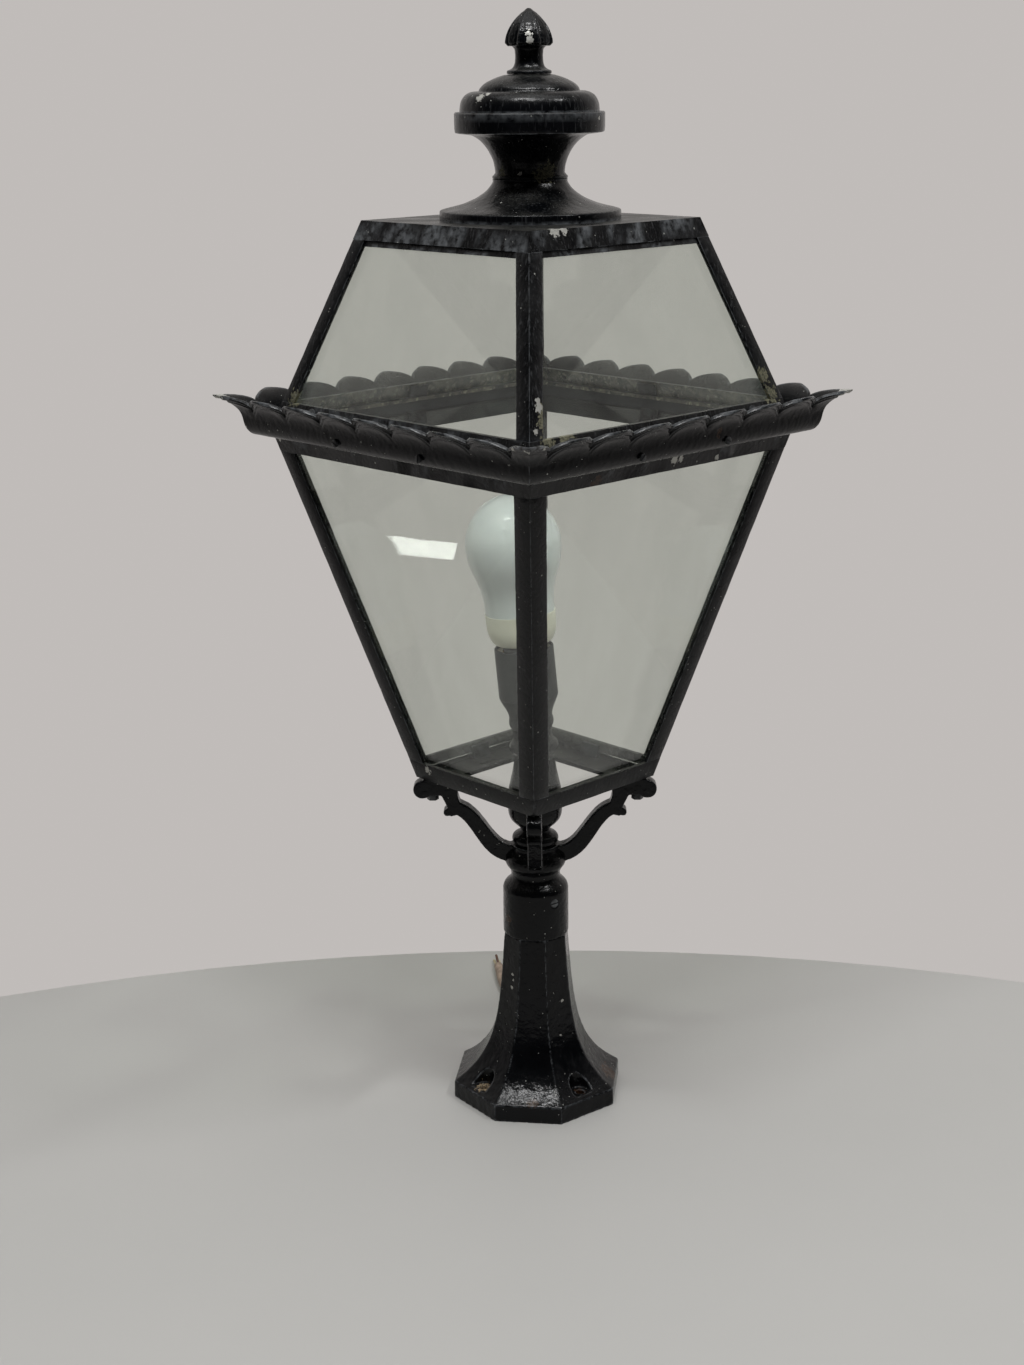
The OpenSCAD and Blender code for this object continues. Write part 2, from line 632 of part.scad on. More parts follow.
module roof_cap() {
    skirt_z = roof_z1 - fascia_h;
    rebate_z = skirt_z - 4;
    color(BLACK) difference() {
        union() {
            wall_band(ROOF, skirt_z, roof_z1, 0, frame_t);
            frustum(half_at(ROOF, roof_z1 - plate_t), roof_z1 - plate_t, roof_top_half, roof_z1);
            difference() {
                wall_band(ROOF, rebate_z, skirt_z + eps, 1.5, frame_t);
                for (k = [0 : 3]) rotate([0, 0, 90 * k]) intersection() {
                    face_strip(ROOF, rebate_z - 1, skirt_z, -1, roof_leg / inset(ROOF, 1) + 0.1, 200);
                    rotate([0, 0, 90])
                        face_strip(ROOF, rebate_z - 1, skirt_z, -1, roof_leg / inset(ROOF, 1) + 0.1, 200);
                }
            }
        }
        translate([0, 0, roof_z1 - 10]) cylinder(r = 4.2, h = 20);
    }
}

// Finial
module turned_shell(outer, inner) {
    rotate_extrude() polygon(concat(outer, reversed(inner)));
}
module finial_foot() {
    top = 646;
    outer = concat([[finial_base_r, roof_z1], [finial_base_r, 625.6]],
        arc_pts([finial_base_r - 1.2, 625.6], 1.2, 30, 90, 2),
        bez([[55, 627.6], [36, 631], [26, 639], [finial_waist_r + 1.6, top - 1.4]], 10),
        [[finial_waist_r + 1.8, top]]);
    inner = concat([[finial_base_r - 4, roof_z1]],
        bez([[52, 623.4], [33, 627], [22, 636], [finial_waist_r - 3, top]], 8));
    color(BLACK) turned_shell(outer, inner);
}
module finial_cup() {
    outer = concat([[finial_waist_r + 1.8, 646]], arc_pts([finial_waist_r + 0.8, 647.2], 1.2, -60, 80, 4),
        bez([[finial_waist_r, 650], [finial_waist_r + 0.3, 662], [32, 672], [38, 673.6]], 10),
        [[41, 674], [45.5, 674.4], [finial_band_r - 0.5, 675], [finial_band_r, 676],
         [finial_band_r, 686.8], [finial_band_r - 0.8, 687.6], [45.2, 687.6]]);
    inner = concat([[finial_waist_r - 3, 646]],
        bez([[finial_waist_r - 3, 650], [finial_waist_r - 2.5, 664], [29, 676], [38, 677.5]], 8),
        [[42.5, 679], [43.5, 682], [43.5, 687.6]]);
    color(BLACK) turned_shell(outer, inner);
}
module finial_lid() {
    big = bez([[44.8, 687.7], [44.9, 695], [42, 699.8], [34.5, 700.4]], 8);
    small = bez([[32.2, 700.6], [32, 704], [25, 708], [14.4, 710.6]], 8);
    color(BLACK) turned_shell(concat(big, [[32.6, 700.2]], small),
        [[40.8, 687.7], [39.5, 694], [34, 697], [28, 699.5], [20, 705], [10, 707.4], [4.3, 707.4],
         [4.3, 710.6]]);
}
module acorn_finial() {
    bud = concat([[15.2, 729.4]],
        bez([[15.2, 729.4], [14.9, 737], [9.5, 744.5], [2.2, tip_z - 0.9]], 9), [[1, tip_z], [-1, tip_z]]);
    half_bud = [for (i = [0 : len(bud) - 2]) bud[i]];
    color(BLACK) difference() {
        union() {
            rotate_extrude() polygon(concat([[0, 710.7], [14.3, 710.7], [14.3, 712.6]],
                bez([[12.6, 713.2], [10, 714], [9.4, 716], [9, 718]], 5),
                [[8.8, 722], [9.2, 725.8], [12.5, 729.6], [0, 731]]));
            intersection_for(k = [0 : 3]) rotate([0, 0, 45 * k])
                prism_y(mirrored_x(concat([[13.4, 727.6]], half_bud)), 20);
        }
        translate([0, 0, 710]) cylinder(r = 4.1, h = 14);
    }
}
module tie_rod() {
    color(STEEL) {
        translate([0, 0, 608]) cylinder(r = 4, h = 115.5);
        translate([0, 0, 610.8]) cylinder(r = 7.5, h = 7, $fn = 6);
    }
}

// Bulb
module bulb_glass() {
    outer = concat(bez([[22.8, 360], [22.5, 386], [bulb_r + 0.2, 386], [bulb_r, 409]], 14),
        bez([[bulb_r, 409], [bulb_r - 0.2, 420], [21, 441], [0, 441]], 14));
    inner = concat(bez([[21.8, 360], [21.5, 386], [bulb_r - 0.8, 386], [bulb_r - 1, 409]], 14),
        bez([[bulb_r - 1, 409], [bulb_r - 1.2, 420], [20, 440], [0, 440]], 14));
    color([0.85, 0.9, 0.92]) leaning() turned_shell(outer, inner);
}
module bulb_housing() {
    color("#ddd9cb") leaning() turned_shell(
        concat([[13.4, 338], [17.2, 338]], bez([[17.2, 338], [20, 338.6], [22, 343], [22.8, 349]], 6),
            [[23.2, 359.9]]),
        [[13.4, 340], [16.5, 340], [21, 346], [21.6, 359.9]]);
}
module bulb_cap() {
    crests = 5;
    pitch = 3.6;
    thread = [for (i = [0 : crests - 1]) each
        [[12.6, 317.5 + pitch * i], [13.15, 317.5 + pitch * (i + 0.5)]]];
    color(STEEL) leaning() {
        rotate_extrude() polygon(concat([[0, 314], [4.6, 314], [5.2, 315.4], [11.8, 317]], thread,
            [[12.6, 335.5], [13, 337.9], [13, 340], [12, 340], [11.6, 318.6], [0, 318.6]]));
        translate([0, 0, 344]) cylinder(r = 19, h = 1.6);
        for (a = [0, 120, 240]) rotate([0, 0, a]) translate([11.4, 0, 339]) cylinder(r = 0.8, h = 6);
    }
}
module discharge_tube() {
    leg = 9;
    color("#eef1f2") leaning() for (k = [0 : 1]) rotate([0, 0, 90 * k + 45]) {
        shift = k == 0 ? -leg : leg;
        translate([0, shift, 0]) {
            for (s = [-1, 1]) translate([s * leg / 2 * 1.6, 0, 352]) cylinder(r = 5, h = 48);
            translate([0, 0, 400]) rotate([90, 0, 0]) rotate_extrude(angle = 180)
                translate([leg / 2 * 1.6, 0]) circle(r = 5);
        }
    }
}

pedestal_column();
cable_grommet();
supply_cord();
cord_cores();
lead_lower();
head_bracket();
collar_screws();
arm_bolts();
arm_nuts();
stem_tube();
stem_ring();
stem_cup();
stem_vase();
stem_knob();
holder_nipple();
lead_upper();
lampholder_cap();
lampholder_skirt();
lampholder_insert();
thread_shell();
centre_contact();
bottom_ring();
for (k = [0 : 3]) lower_post(k);
top_ring();
for (k = [0 : 3]) lower_glass(k);
lower_glass_clips();
for (k = [0 : 3]) gallery_side(k);
gallery_screws();
hinge_fixed_leaves();
hinge_pins();
hinge_moving_leaves();
roof_ring();
for (k = [0 : 3]) roof_post(k);
for (k = [0 : 3]) roof_glass(k);
roof_clips_and_screws();
roof_cap();
finial_foot();
finial_cup();
finial_lid();
acorn_finial();
tie_rod();
bulb_glass();
bulb_housing();
bulb_cap();
discharge_tube();
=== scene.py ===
# %% [markdown]
# # A pedestal street lantern
# The lantern stands on an octagonal foot of cast aluminium. A four-armed bracket turns on the foot and
# carries a glazed body, a gallery of curled leaves, and a glazed roof under a turned finial. A machine
# model already fixes every size, so this lesson gives each part its cast skin, its edges and its paint.
# %% Load the machine model
import json
import math
from contextlib import contextmanager

import bmesh
import bpy
import numpy as np
from mathutils import Matrix, Quaternion, Vector, noise

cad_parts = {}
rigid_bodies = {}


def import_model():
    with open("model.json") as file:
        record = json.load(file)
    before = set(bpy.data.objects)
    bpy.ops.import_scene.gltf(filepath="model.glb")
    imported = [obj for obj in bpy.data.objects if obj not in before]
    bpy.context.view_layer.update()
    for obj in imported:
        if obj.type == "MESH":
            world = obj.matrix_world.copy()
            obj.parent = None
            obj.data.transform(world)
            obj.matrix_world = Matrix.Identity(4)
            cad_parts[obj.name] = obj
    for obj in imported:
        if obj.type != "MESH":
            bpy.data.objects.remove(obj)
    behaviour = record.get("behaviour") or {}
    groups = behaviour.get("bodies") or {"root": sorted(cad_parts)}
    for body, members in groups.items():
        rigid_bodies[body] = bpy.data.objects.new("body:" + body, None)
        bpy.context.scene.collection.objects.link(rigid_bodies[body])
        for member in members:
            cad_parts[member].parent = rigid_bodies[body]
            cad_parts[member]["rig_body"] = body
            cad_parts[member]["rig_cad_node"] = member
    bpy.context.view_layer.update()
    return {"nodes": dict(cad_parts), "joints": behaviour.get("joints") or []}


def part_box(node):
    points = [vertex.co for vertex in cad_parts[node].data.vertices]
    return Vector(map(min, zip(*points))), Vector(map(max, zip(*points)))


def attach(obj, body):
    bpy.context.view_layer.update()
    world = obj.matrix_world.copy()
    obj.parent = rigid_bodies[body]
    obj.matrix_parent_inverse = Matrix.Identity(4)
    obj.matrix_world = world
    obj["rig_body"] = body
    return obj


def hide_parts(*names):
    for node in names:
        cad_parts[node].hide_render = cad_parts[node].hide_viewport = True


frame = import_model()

# %% [markdown]
# ## The camera
# The lantern is seen corner on, from a little above its gallery. A long lens that stands well back keeps
# the posts from leaning apart, as the eye sees them from across a room. The camera's place is turned
# about the lantern's axis, so the near corner is the one between the east and south sides.
# %% Camera
MM = 0.001
view_turn = math.radians(45.537)  # from the south side round to the near corner
view_distance, view_height = 1.360, 0.7124  # metres from the axis, and above the floor
pitch, yaw, roll = math.radians(16.565), math.radians(-0.6423), math.radians(-0.6425)

camera_data = bpy.data.cameras.new("camera")
camera_data.sensor_width = 36.0
camera_data.lens = 54.2
camera = bpy.data.objects.new("camera", camera_data)
bpy.context.scene.collection.objects.link(camera)
bpy.context.scene.camera = camera

ahead = Vector((math.sin(yaw) * math.cos(pitch), math.cos(yaw) * math.cos(pitch), -math.sin(pitch)))
level_right = Vector((math.cos(yaw), -math.sin(yaw), 0.0))
level_up = level_right.cross(ahead)
right = math.cos(roll) * level_right + math.sin(roll) * level_up
up = -math.sin(roll) * level_right + math.cos(roll) * level_up
facing = Matrix((right, up, -ahead)).transposed()
turn = Matrix.Rotation(view_turn, 3, "Z")
camera.rotation_mode = "QUATERNION"
camera.rotation_quaternion = (turn @ facing).to_quaternion()
camera.location = turn @ Vector((0.0, -view_distance, view_height))
print("camera at", tuple(round(v, 3) for v in camera.location), "with a lens of", camera_data.lens, "mm")

# %% [markdown]
# ## Small tools for the hands
# Every step below is one that a person does by hand: add a primitive, open it in edit mode, select by
# place, move, extrude or bevel, and close it with a modifier. These helpers do the clicking. Nothing may
# be left selected from the step before, because an operator works on all that is selected.
# %% Tools: objects and edit mode
def focus(obj):
    """Leaves edit mode and makes obj the only selected object."""
    if bpy.context.object and bpy.context.object.mode != "OBJECT":
        bpy.ops.object.mode_set(mode="OBJECT")
    bpy.ops.object.select_all(action="DESELECT")
    if obj is not None:
        obj.select_set(True)
        bpy.context.view_layer.objects.active = obj


def primitive(kind, name, **settings):
    """Adds one of the mesh primitives, with a name of its own."""
    focus(None)
    getattr(bpy.ops.mesh, f"primitive_{kind}_add")(**settings)
    obj = bpy.context.object
    obj.name = obj.data.name = name
    return obj


@contextmanager
def editing(obj):
    """Edit mode on obj alone, with everything selected at the start."""
    focus(obj)
    bpy.ops.object.mode_set(mode="EDIT")
    bpy.ops.mesh.select_all(action="SELECT")
    yield
    bpy.ops.object.mode_set(mode="OBJECT")


def select(obj, kind, test):
    """In edit mode, selects just the vertices, edges or faces that pass a test."""
    bpy.ops.mesh.select_mode(type=kind)
    bpy.ops.mesh.select_all(action="DESELECT")
    mesh = bmesh.from_edit_mesh(obj.data)
    for item in {"VERT": mesh.verts, "EDGE": mesh.edges, "FACE": mesh.faces}[kind]:
        item.select_set(bool(test(item)))
    mesh.select_flush_mode()
    bmesh.update_edit_mesh(obj.data)


print("tools for objects and edit mode are ready")


# %% Tools: modifiers and copies
def modify(obj, kind, **settings):
    """Adds one modifier and applies it."""
    focus(obj)
    modifier = obj.modifiers.new(kind.lower(), kind)
    for name, value in settings.items():
        setattr(modifier, name, value)
    bpy.ops.object.modifier_apply(modifier=modifier.name)


def carve(obj, cutter):
    """Cuts obj with another closed mesh, and throws that mesh away."""
    modify(obj, "BOOLEAN", object=cutter, operation="DIFFERENCE", solver="EXACT")
    bpy.data.objects.remove(cutter)


def twin(obj, name, turn_deg=0.0):
    """A copy with a mesh of its own, turned about the lantern's axis."""
    copy = obj.copy()
    copy.data = obj.data.copy()
    copy.name = copy.data.name = name
    bpy.context.scene.collection.objects.link(copy)
    copy.data.transform(Matrix.Rotation(math.radians(turn_deg), 4, "Z"))
    return copy


print("tools for modifiers and copies are ready")

# %% [markdown]
# Cast and painted edges are never knife sharp. `soften` bevels every edge that turns by more than a given
# angle. `recast` goes further, and gives a machined shape one even skin with rounded edges and fillets.
# `cut_across` slices a long bar into short lengths, so that `roughen` can push its skin in and out a
# little, as the sand of the mould did.
# %% Tools: edges and skins
def soften(obj, width, segments=2, sharpness=28.0):
    """Bevels the sharp edges."""
    with editing(obj):
        bpy.ops.mesh.select_mode(type="EDGE")
        bpy.ops.mesh.select_all(action="DESELECT")
        bpy.ops.mesh.edges_select_sharp(sharpness=math.radians(sharpness))
        bpy.ops.mesh.bevel(offset=width, segments=segments, profile=0.6, clamp_overlap=True)


def recast(obj, skin, rounds=4):
    """Gives the shape an even skin of small quads and smooths its edges round."""
    modify(obj, "REMESH", mode="VOXEL", voxel_size=skin)
    modify(obj, "SMOOTH", factor=0.5, iterations=rounds)


def cut_across(obj, axes, spacing):
    """Slices the mesh with planes that far apart, square to each of the axes."""
    with editing(obj):
        corners = [v.co.copy() for v in bmesh.from_edit_mesh(obj.data).verts]
        for axis in axes:
            low, high = min(c[axis] for c in corners), max(c[axis] for c in corners)
            square = [float(k == axis) for k in range(3)]
            count = max(1, round((high - low) / spacing))
            for i in range(1, count):
                place = [c * (low + (high - low) * i / count) for c in square]
                bpy.ops.mesh.select_all(action="SELECT")
                bpy.ops.mesh.bisect(plane_co=place, plane_no=square, threshold=2e-5)


def swell(obj, height):
    """Moves each vertex along its own normal by height(place), all at once."""
    moves = [v.co + v.normal * height(v.co) for v in obj.data.vertices]
    for v, place in zip(obj.data.vertices, moves):
        v.co = place


def roughen(obj, depth, grain, seed=0.0):
    """Adds smooth lumps of about one grain across."""
    shift = Vector((seed, seed, seed))

    def lumps(place):
        p = place / grain + shift
        return depth * (noise.noise(p) + 0.5 * noise.noise(p * 2.1))

    swell(obj, lumps)


print("tools for edges and skins are ready")


# %% [markdown]
# Paint thins and rubs through first where the metal stands proud. So this tool compares each vertex with
# its neighbours along its own normal, and keeps how proud it stands as an attribute that the paint reads.
# %% Tool: wear
def mark_wear(obj, start=0.07, full=0.25):
    """Keeps, at each vertex, how far it stands proud of its neighbours, from 0 at start to 1 at full."""
    mesh = obj.data
    place = np.empty(3 * len(mesh.vertices))
    mesh.vertices.foreach_get("co", place)
    place = place.reshape(-1, 3)
    normal = np.empty(3 * len(mesh.vertices))
    mesh.vertex_normals.foreach_get("vector", normal)
    normal = normal.reshape(-1, 3)
    ends = np.empty(2 * len(mesh.edges), dtype=int)
    mesh.edges.foreach_get("vertices", ends)
    ends = ends.reshape(-1, 2)
    proud, count = np.zeros(len(place)), np.zeros(len(place))
    for here, there in (ends.T, ends.T[::-1]):
        step = place[here] - place[there]
        rise = (step * normal[here]).sum(1) / np.maximum(np.linalg.norm(step, axis=1), 1e-9)
        np.add.at(proud, here, rise)
        np.add.at(count, here, 1)
    proud = np.clip((proud / np.maximum(count, 1) - start) / (full - start), 0.0, 1.0)
    wear = mesh.attributes.get("wear") or mesh.attributes.new("wear", "FLOAT", "POINT")
    wear.data.foreach_set("value", proud.astype(np.float32))


print("the wear tool is ready")


# %% [markdown]
# The machine model is a good start for every part. A flat or cast part is copied as it is. A turned part
# is cut in half instead, and its outline is spun afresh, because a lathe leaves no flat facets. The parts
# above the lowest knob lean a little, so they are stood upright while they are spun.
# %% Tools: copies of machine parts
def from_machine(node):
    """A copy of a machine part, with its loose triangles merged and its flat faces whole."""
    obj = frame["nodes"][node].copy()
    obj.data = obj.data.copy()
    obj.name = obj.data.name = node + "_finished"
    obj.parent = None
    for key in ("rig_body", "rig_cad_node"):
        del obj[key]
    bpy.context.scene.collection.objects.link(obj)
    obj.data.materials.clear()
    with editing(obj):
        bpy.ops.mesh.customdata_custom_splitnormals_clear()
        bpy.ops.mesh.remove_doubles(threshold=2e-6)
        bpy.ops.mesh.dissolve_limited(angle_limit=math.radians(0.5))
    return obj


def axis_frame(lean):
    """The matrix that stands a leaning part upright on the lantern's axis, or leaves it as it is."""
    if not lean:
        return Matrix.Identity(4)
    joint = next(j for j in frame["joints"] if j["name"] == "bulb_turn")
    pivot = Vector(joint["pos_m"])
    upright = Vector(joint["axis"]).rotation_difference(Vector((0, 0, 1))).to_matrix().to_4x4()
    return Matrix.Translation(pivot) @ upright @ Matrix.Translation(-pivot)


def spun_from_machine(node, lean=False, steps=96, smooth_levels=1):
    """Cuts a turned machine part in half, keeps one half's outline, and spins that outline afresh."""
    obj = from_machine(node)
    stand = axis_frame(lean)
    obj.data.transform(stand)
    near = 2e-5
    with editing(obj):
        bpy.ops.mesh.bisect(plane_co=(0, 0, 0), plane_no=(0.02, 1, 0), threshold=near,
                            clear_inner=True, clear_outer=True)
        select(obj, "VERT", lambda v: v.co.x < -near)
        bpy.ops.mesh.delete(type="VERT")
        select(obj, "EDGE", lambda e: all(abs(v.co.x) < near for v in e.verts))
        bpy.ops.mesh.delete(type="EDGE")
        select(obj, "VERT", lambda v: not v.link_edges)
        bpy.ops.mesh.delete(type="VERT")
        bpy.ops.mesh.select_all(action="SELECT")
        bpy.ops.mesh.remove_doubles(threshold=near)
        bpy.ops.mesh.spin(steps=steps, angle=math.tau, center=(0, 0, 0), axis=(0, 0, 1))
        bpy.ops.mesh.select_all(action="SELECT")
        bpy.ops.mesh.remove_doubles(threshold=near)
        bpy.ops.mesh.normals_make_consistent(inside=False)
    if smooth_levels:
        with editing(obj):
            bpy.ops.mesh.select_all(action="DESELECT")
            bpy.ops.mesh.edges_select_sharp(sharpness=math.radians(32))
            bpy.ops.transform.edge_crease(value=1.0)
        modify(obj, "SUBSURF", levels=smooth_levels, render_levels=smooth_levels)
    obj.data.transform(stand.inverted())
    return obj


print("tools for copies of machine parts are ready")


# %% Tool: the last step on every piece
def finish_piece(obj, body, material, stands_for=(), smooth=38.0):
    """Cleans the mesh, shades it, paints it and lets it ride on its body."""
    focus(obj)
    bpy.ops.object.transform_apply(location=True, rotation=True, scale=True)
    with editing(obj):
        bpy.ops.mesh.remove_doubles(threshold=1e-6)
        bpy.ops.mesh.delete_loose()
    bpy.ops.object.shade_smooth_by_angle(angle=math.radians(smooth))
    obj.data.materials.clear()
    obj.data.materials.append(material)
    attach(obj, body)
    if stands_for:
        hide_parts(*stands_for)
    print(f"{obj.name}: {len(obj.data.polygons)} faces, rides on {body}")
    return obj


print("the last tool is ready")

# %% [markdown]
# ## Finishes
# Each finish is a node tree that starts from the real coating. One helper adds a node, sets it and links
# it. Colours are written as the hex values that a paint chart uses, so one function turns them to the
# linear light that the shaders work in. Patterns are sized in millimetres on Object coordinates, which
# are the lantern's own, so a pattern runs on from one casting to the next.
# %% Finishes: colour, nodes and patterns
def paint_chart(code):
    """A hex colour such as #1b1c1e as linear red, green, blue and alpha."""
    channels = [int(code[i:i + 2], 16) / 255 for i in (1, 3, 5)]
    return (*[c / 12.92 if c <= 0.04045 else ((c + 0.055) / 1.055) ** 2.4 for c in channels], 1.0)


def add(tree, kind, inputs=(), **settings):
    """Adds one shader node, sets it, and feeds its sockets with links or with constants."""
    node = tree.nodes.new("ShaderNode" + kind)
    for name, value in settings.items():
        setattr(node, name, value)
    for name, value in dict(inputs).items():
        if isinstance(value, bpy.types.NodeSocket):
            tree.links.new(value, node.inputs[name])
        else:
            node.inputs[name].default_value = value
    return node


def new_finish(name):
    """An empty material, its tree and the Object coordinates that its patterns read."""
    material = bpy.data.materials.new(name)
    material.use_nodes = True
    tree = material.node_tree
    tree.nodes.clear()
    coords = add(tree, "TexCoord").outputs["Object"]
    return material, tree, coords


def per_grain(size_mm):
    """The scale of a pattern whose grain is that many millimetres."""
    return 1.0 / (size_mm * MM)


def noise_of(tree, coords, size_mm, detail=3.0, roughness=0.55):
    """Smooth noise from 0 to 1, with grains of that size."""
    settings = {"Vector": coords, "Scale": per_grain(size_mm), "Detail": detail, "Roughness": roughness}
    return add(tree, "TexNoise", settings).outputs["Fac"]


def ramp(tree, value, low, high):
    """0 below low, 1 above high, and even between them."""
    return add(tree, "MapRange", {0: value, 1: low, 2: high}).outputs[0]


def times(tree, a, b):
    """One value or mask times another."""
    return add(tree, "Math", {0: a, 1: b}, operation="MULTIPLY").outputs[0]


def most_of(tree, a, b):
    """The larger of two values or masks."""
    return add(tree, "Math", {0: a, 1: b}, operation="MAXIMUM").outputs[0]


print("helpers for colour and noise are ready")


# %% Finishes: layers, patches and relief
def layer(tree, mask, below, above):
    """Lays one colour over another where the mask is 1."""
    sides = {0: mask, 6: below, 7: above}
    return add(tree, "Mix", sides, data_type="RGBA").outputs[2]


def flecks(tree, coords, apart_mm, across_mm, share):
    """Scattered round flecks: one in each cell of a grid that wide, in a share of the cells."""
    cells = add(tree, "TexVoronoi", {"Vector": coords, "Scale": per_grain(apart_mm)})
    split = add(tree, "SeparateColor", {0: cells.outputs["Color"]})
    size = add(tree, "Math", {0: split.outputs[1], 1: across_mm / apart_mm / 2}, operation="MULTIPLY")
    near = add(tree, "Math", {0: cells.outputs["Distance"], 1: size.outputs[0]}, operation="LESS_THAN")
    kept = add(tree, "Math", {0: split.outputs[0], 1: share}, operation="LESS_THAN")
    return times(tree, near.outputs[0], kept.outputs[0])


def ragged_patches(tree, coords, places, ragged_mm=2.0):
    """1 inside each ragged patch. Each place is a centre and a radius, in metres."""
    edge = noise_of(tree, coords, ragged_mm, detail=4.0)
    mask = 0.0
    for centre, radius in places:
        offset = add(tree, "VectorMath", {0: coords, 1: centre}, operation="DISTANCE").outputs["Value"]
        frayed = add(tree, "Math", {0: edge, 1: 2.4 * radius, 2: offset}, operation="MULTIPLY_ADD")
        inside = add(tree, "Math", {0: frayed.outputs[0], 1: 1.9 * radius}, operation="LESS_THAN")
        mask = most_of(tree, inside.outputs[0], mask)
    return mask


def bumped(tree, height, depth_mm, below=None):
    """A normal for relief of that depth, over another relief if there is one."""
    inputs = {"Strength": 1.0, "Distance": depth_mm * MM, "Height": height}
    if below is not None:
        inputs["Normal"] = below
    return add(tree, "Bump", inputs).outputs["Normal"]


def surface(tree, **inputs):
    """The Principled shader and the output, from sockets named as Base_Color and so on."""
    sockets = {name.replace("_", " "): value for name, value in inputs.items()}
    shader = add(tree, "BsdfPrincipled", sockets)
    add(tree, "OutputMaterial", {"Surface": shader.outputs[0]})
    return shader


print("helpers for colour, patterns and surfaces are ready")

# %% [markdown]
# ### Weathered gloss paint on cast aluminium
# Decades of brushed black enamel fill the sand marks of the casting but don't hide them, so a highlight
# breaks into bright crumbs. Paint wears thin along edges, tiny flecks have gone down to pale metal, dust
# and limescale lie on what faces up, and a few chips show bare cast aluminium. The same recipe makes each
# kind of casting, with its own lumps, gloss and dirt.
# %% Gloss black paint
def black_enamel(name, lump_mm=3.0, relief_mm=0.22, gloss=0.24, dust=0.25, fleck_share=0.16,
                 streaks=0.0, chips=(), lichen=(), rust=(), crust_tones=("#4f4d3a", "#8b8974")):
    """Weathered black enamel, which gives the eye deep black with small sharp crumbs of light.

    Chips, lichen and rust are lists of patches, as (centre, radius) in metres.
    """
    material, tree, coords = new_finish(name)
    lumps = noise_of(tree, coords, lump_mm, detail=2.0)
    grit = noise_of(tree, coords, lump_mm * 0.3, detail=2.0)
    broad = noise_of(tree, coords, 24.0, detail=3.0)
    fine = noise_of(tree, coords, 1.1, detail=4.0, roughness=0.65)

    # Paint, in two blacks, then rubbed edges
    colour = layer(tree, ramp(tree, broad, 0.35, 0.65), paint_chart("#050608"), paint_chart("#0c0d10"))
    wear = add(tree, "Attribute", attribute_name="wear").outputs["Fac"]
    rubbed = times(tree, wear, ramp(tree, noise_of(tree, coords, 5.0), 0.35, 0.6))
    colour = layer(tree, rubbed, colour, paint_chart("#5d6063"))

    # Dust that lies where the surface faces up, thicker in the grain
    lie = add(tree, "SeparateXYZ", {0: add(tree, "TexCoord").outputs["Normal"]}).outputs["Z"]
    settled = times(tree, ramp(tree, lie, 0.2, 1.0), ramp(tree, fine, 0.35, 0.75))
    haze = times(tree, times(tree, settled, ramp(tree, broad, 0.3, 0.7)), dust)
    colour = layer(tree, haze, colour, paint_chart("#8b8a80"))

    # Pale flecks of two sizes
    specks = most_of(tree, flecks(tree, coords, 5.0, 1.5, fleck_share),
                     flecks(tree, coords, 2.2, 0.9, fleck_share * 0.6))
    colour = layer(tree, times(tree, specks, 0.75), colour, paint_chart("#a9aaa4"))
    if streaks:
        stretched = add(tree, "Mapping", {0: coords, 3: (1.0, 1.0, 0.12)}).outputs[0]
        runs = ramp(tree, noise_of(tree, stretched, 1.5, detail=3.0), 0.56, 0.72)
        colour = layer(tree, times(tree, runs, streaks), colour, paint_chart("#76787a"))
    if lichen:
        crust = times(tree, ragged_patches(tree, coords, lichen, 2.5), ramp(tree, fine, 0.35, 0.55))
        mottled = layer(tree, fine, *(paint_chart(tone) for tone in crust_tones))
        colour = layer(tree, crust, colour, mottled)
    if rust:
        stain = times(tree, ragged_patches(tree, coords, rust, 3.0), ramp(tree, fine, 0.3, 0.6))
        colour = layer(tree, times(tree, stain, 0.8), colour, paint_chart("#46301f"))
    bare = ragged_patches(tree, coords, chips, 1.6) if chips else 0.0
    if chips:
        metal = layer(tree, fine, paint_chart("#8f908c"), paint_chart("#d3d2cb"))
        colour = layer(tree, bare, colour, metal)

    rough = add(tree, "MapRange", {0: broad, 1: 0.3, 2: 0.7, 3: gloss * 0.8, 4: gloss * 1.35}).outputs[0]
    dull = most_of(tree, times(tree, haze, 1.6), times(tree, specks, 0.5))
    if lichen:
        dull = most_of(tree, dull, crust)
    if chips:
        dull = most_of(tree, dull, times(tree, bare, 0.45))
    rough = add(tree, "MapRange", {0: dull, 1: 0.0, 2: 1.0, 3: rough, 4: 0.9}).outputs[0]

    relief = bumped(tree, lumps, relief_mm)
    relief = bumped(tree, grit, relief_mm * 0.3, relief)
    if chips:
        relief = bumped(tree, bare, -0.25, relief)
    surface(tree, Base_Color=colour, Roughness=rough, Metallic=times(tree, bare, 0.55), Normal=relief,
            Specular_IOR_Level=0.2)
    print("finish:", name)
    return material


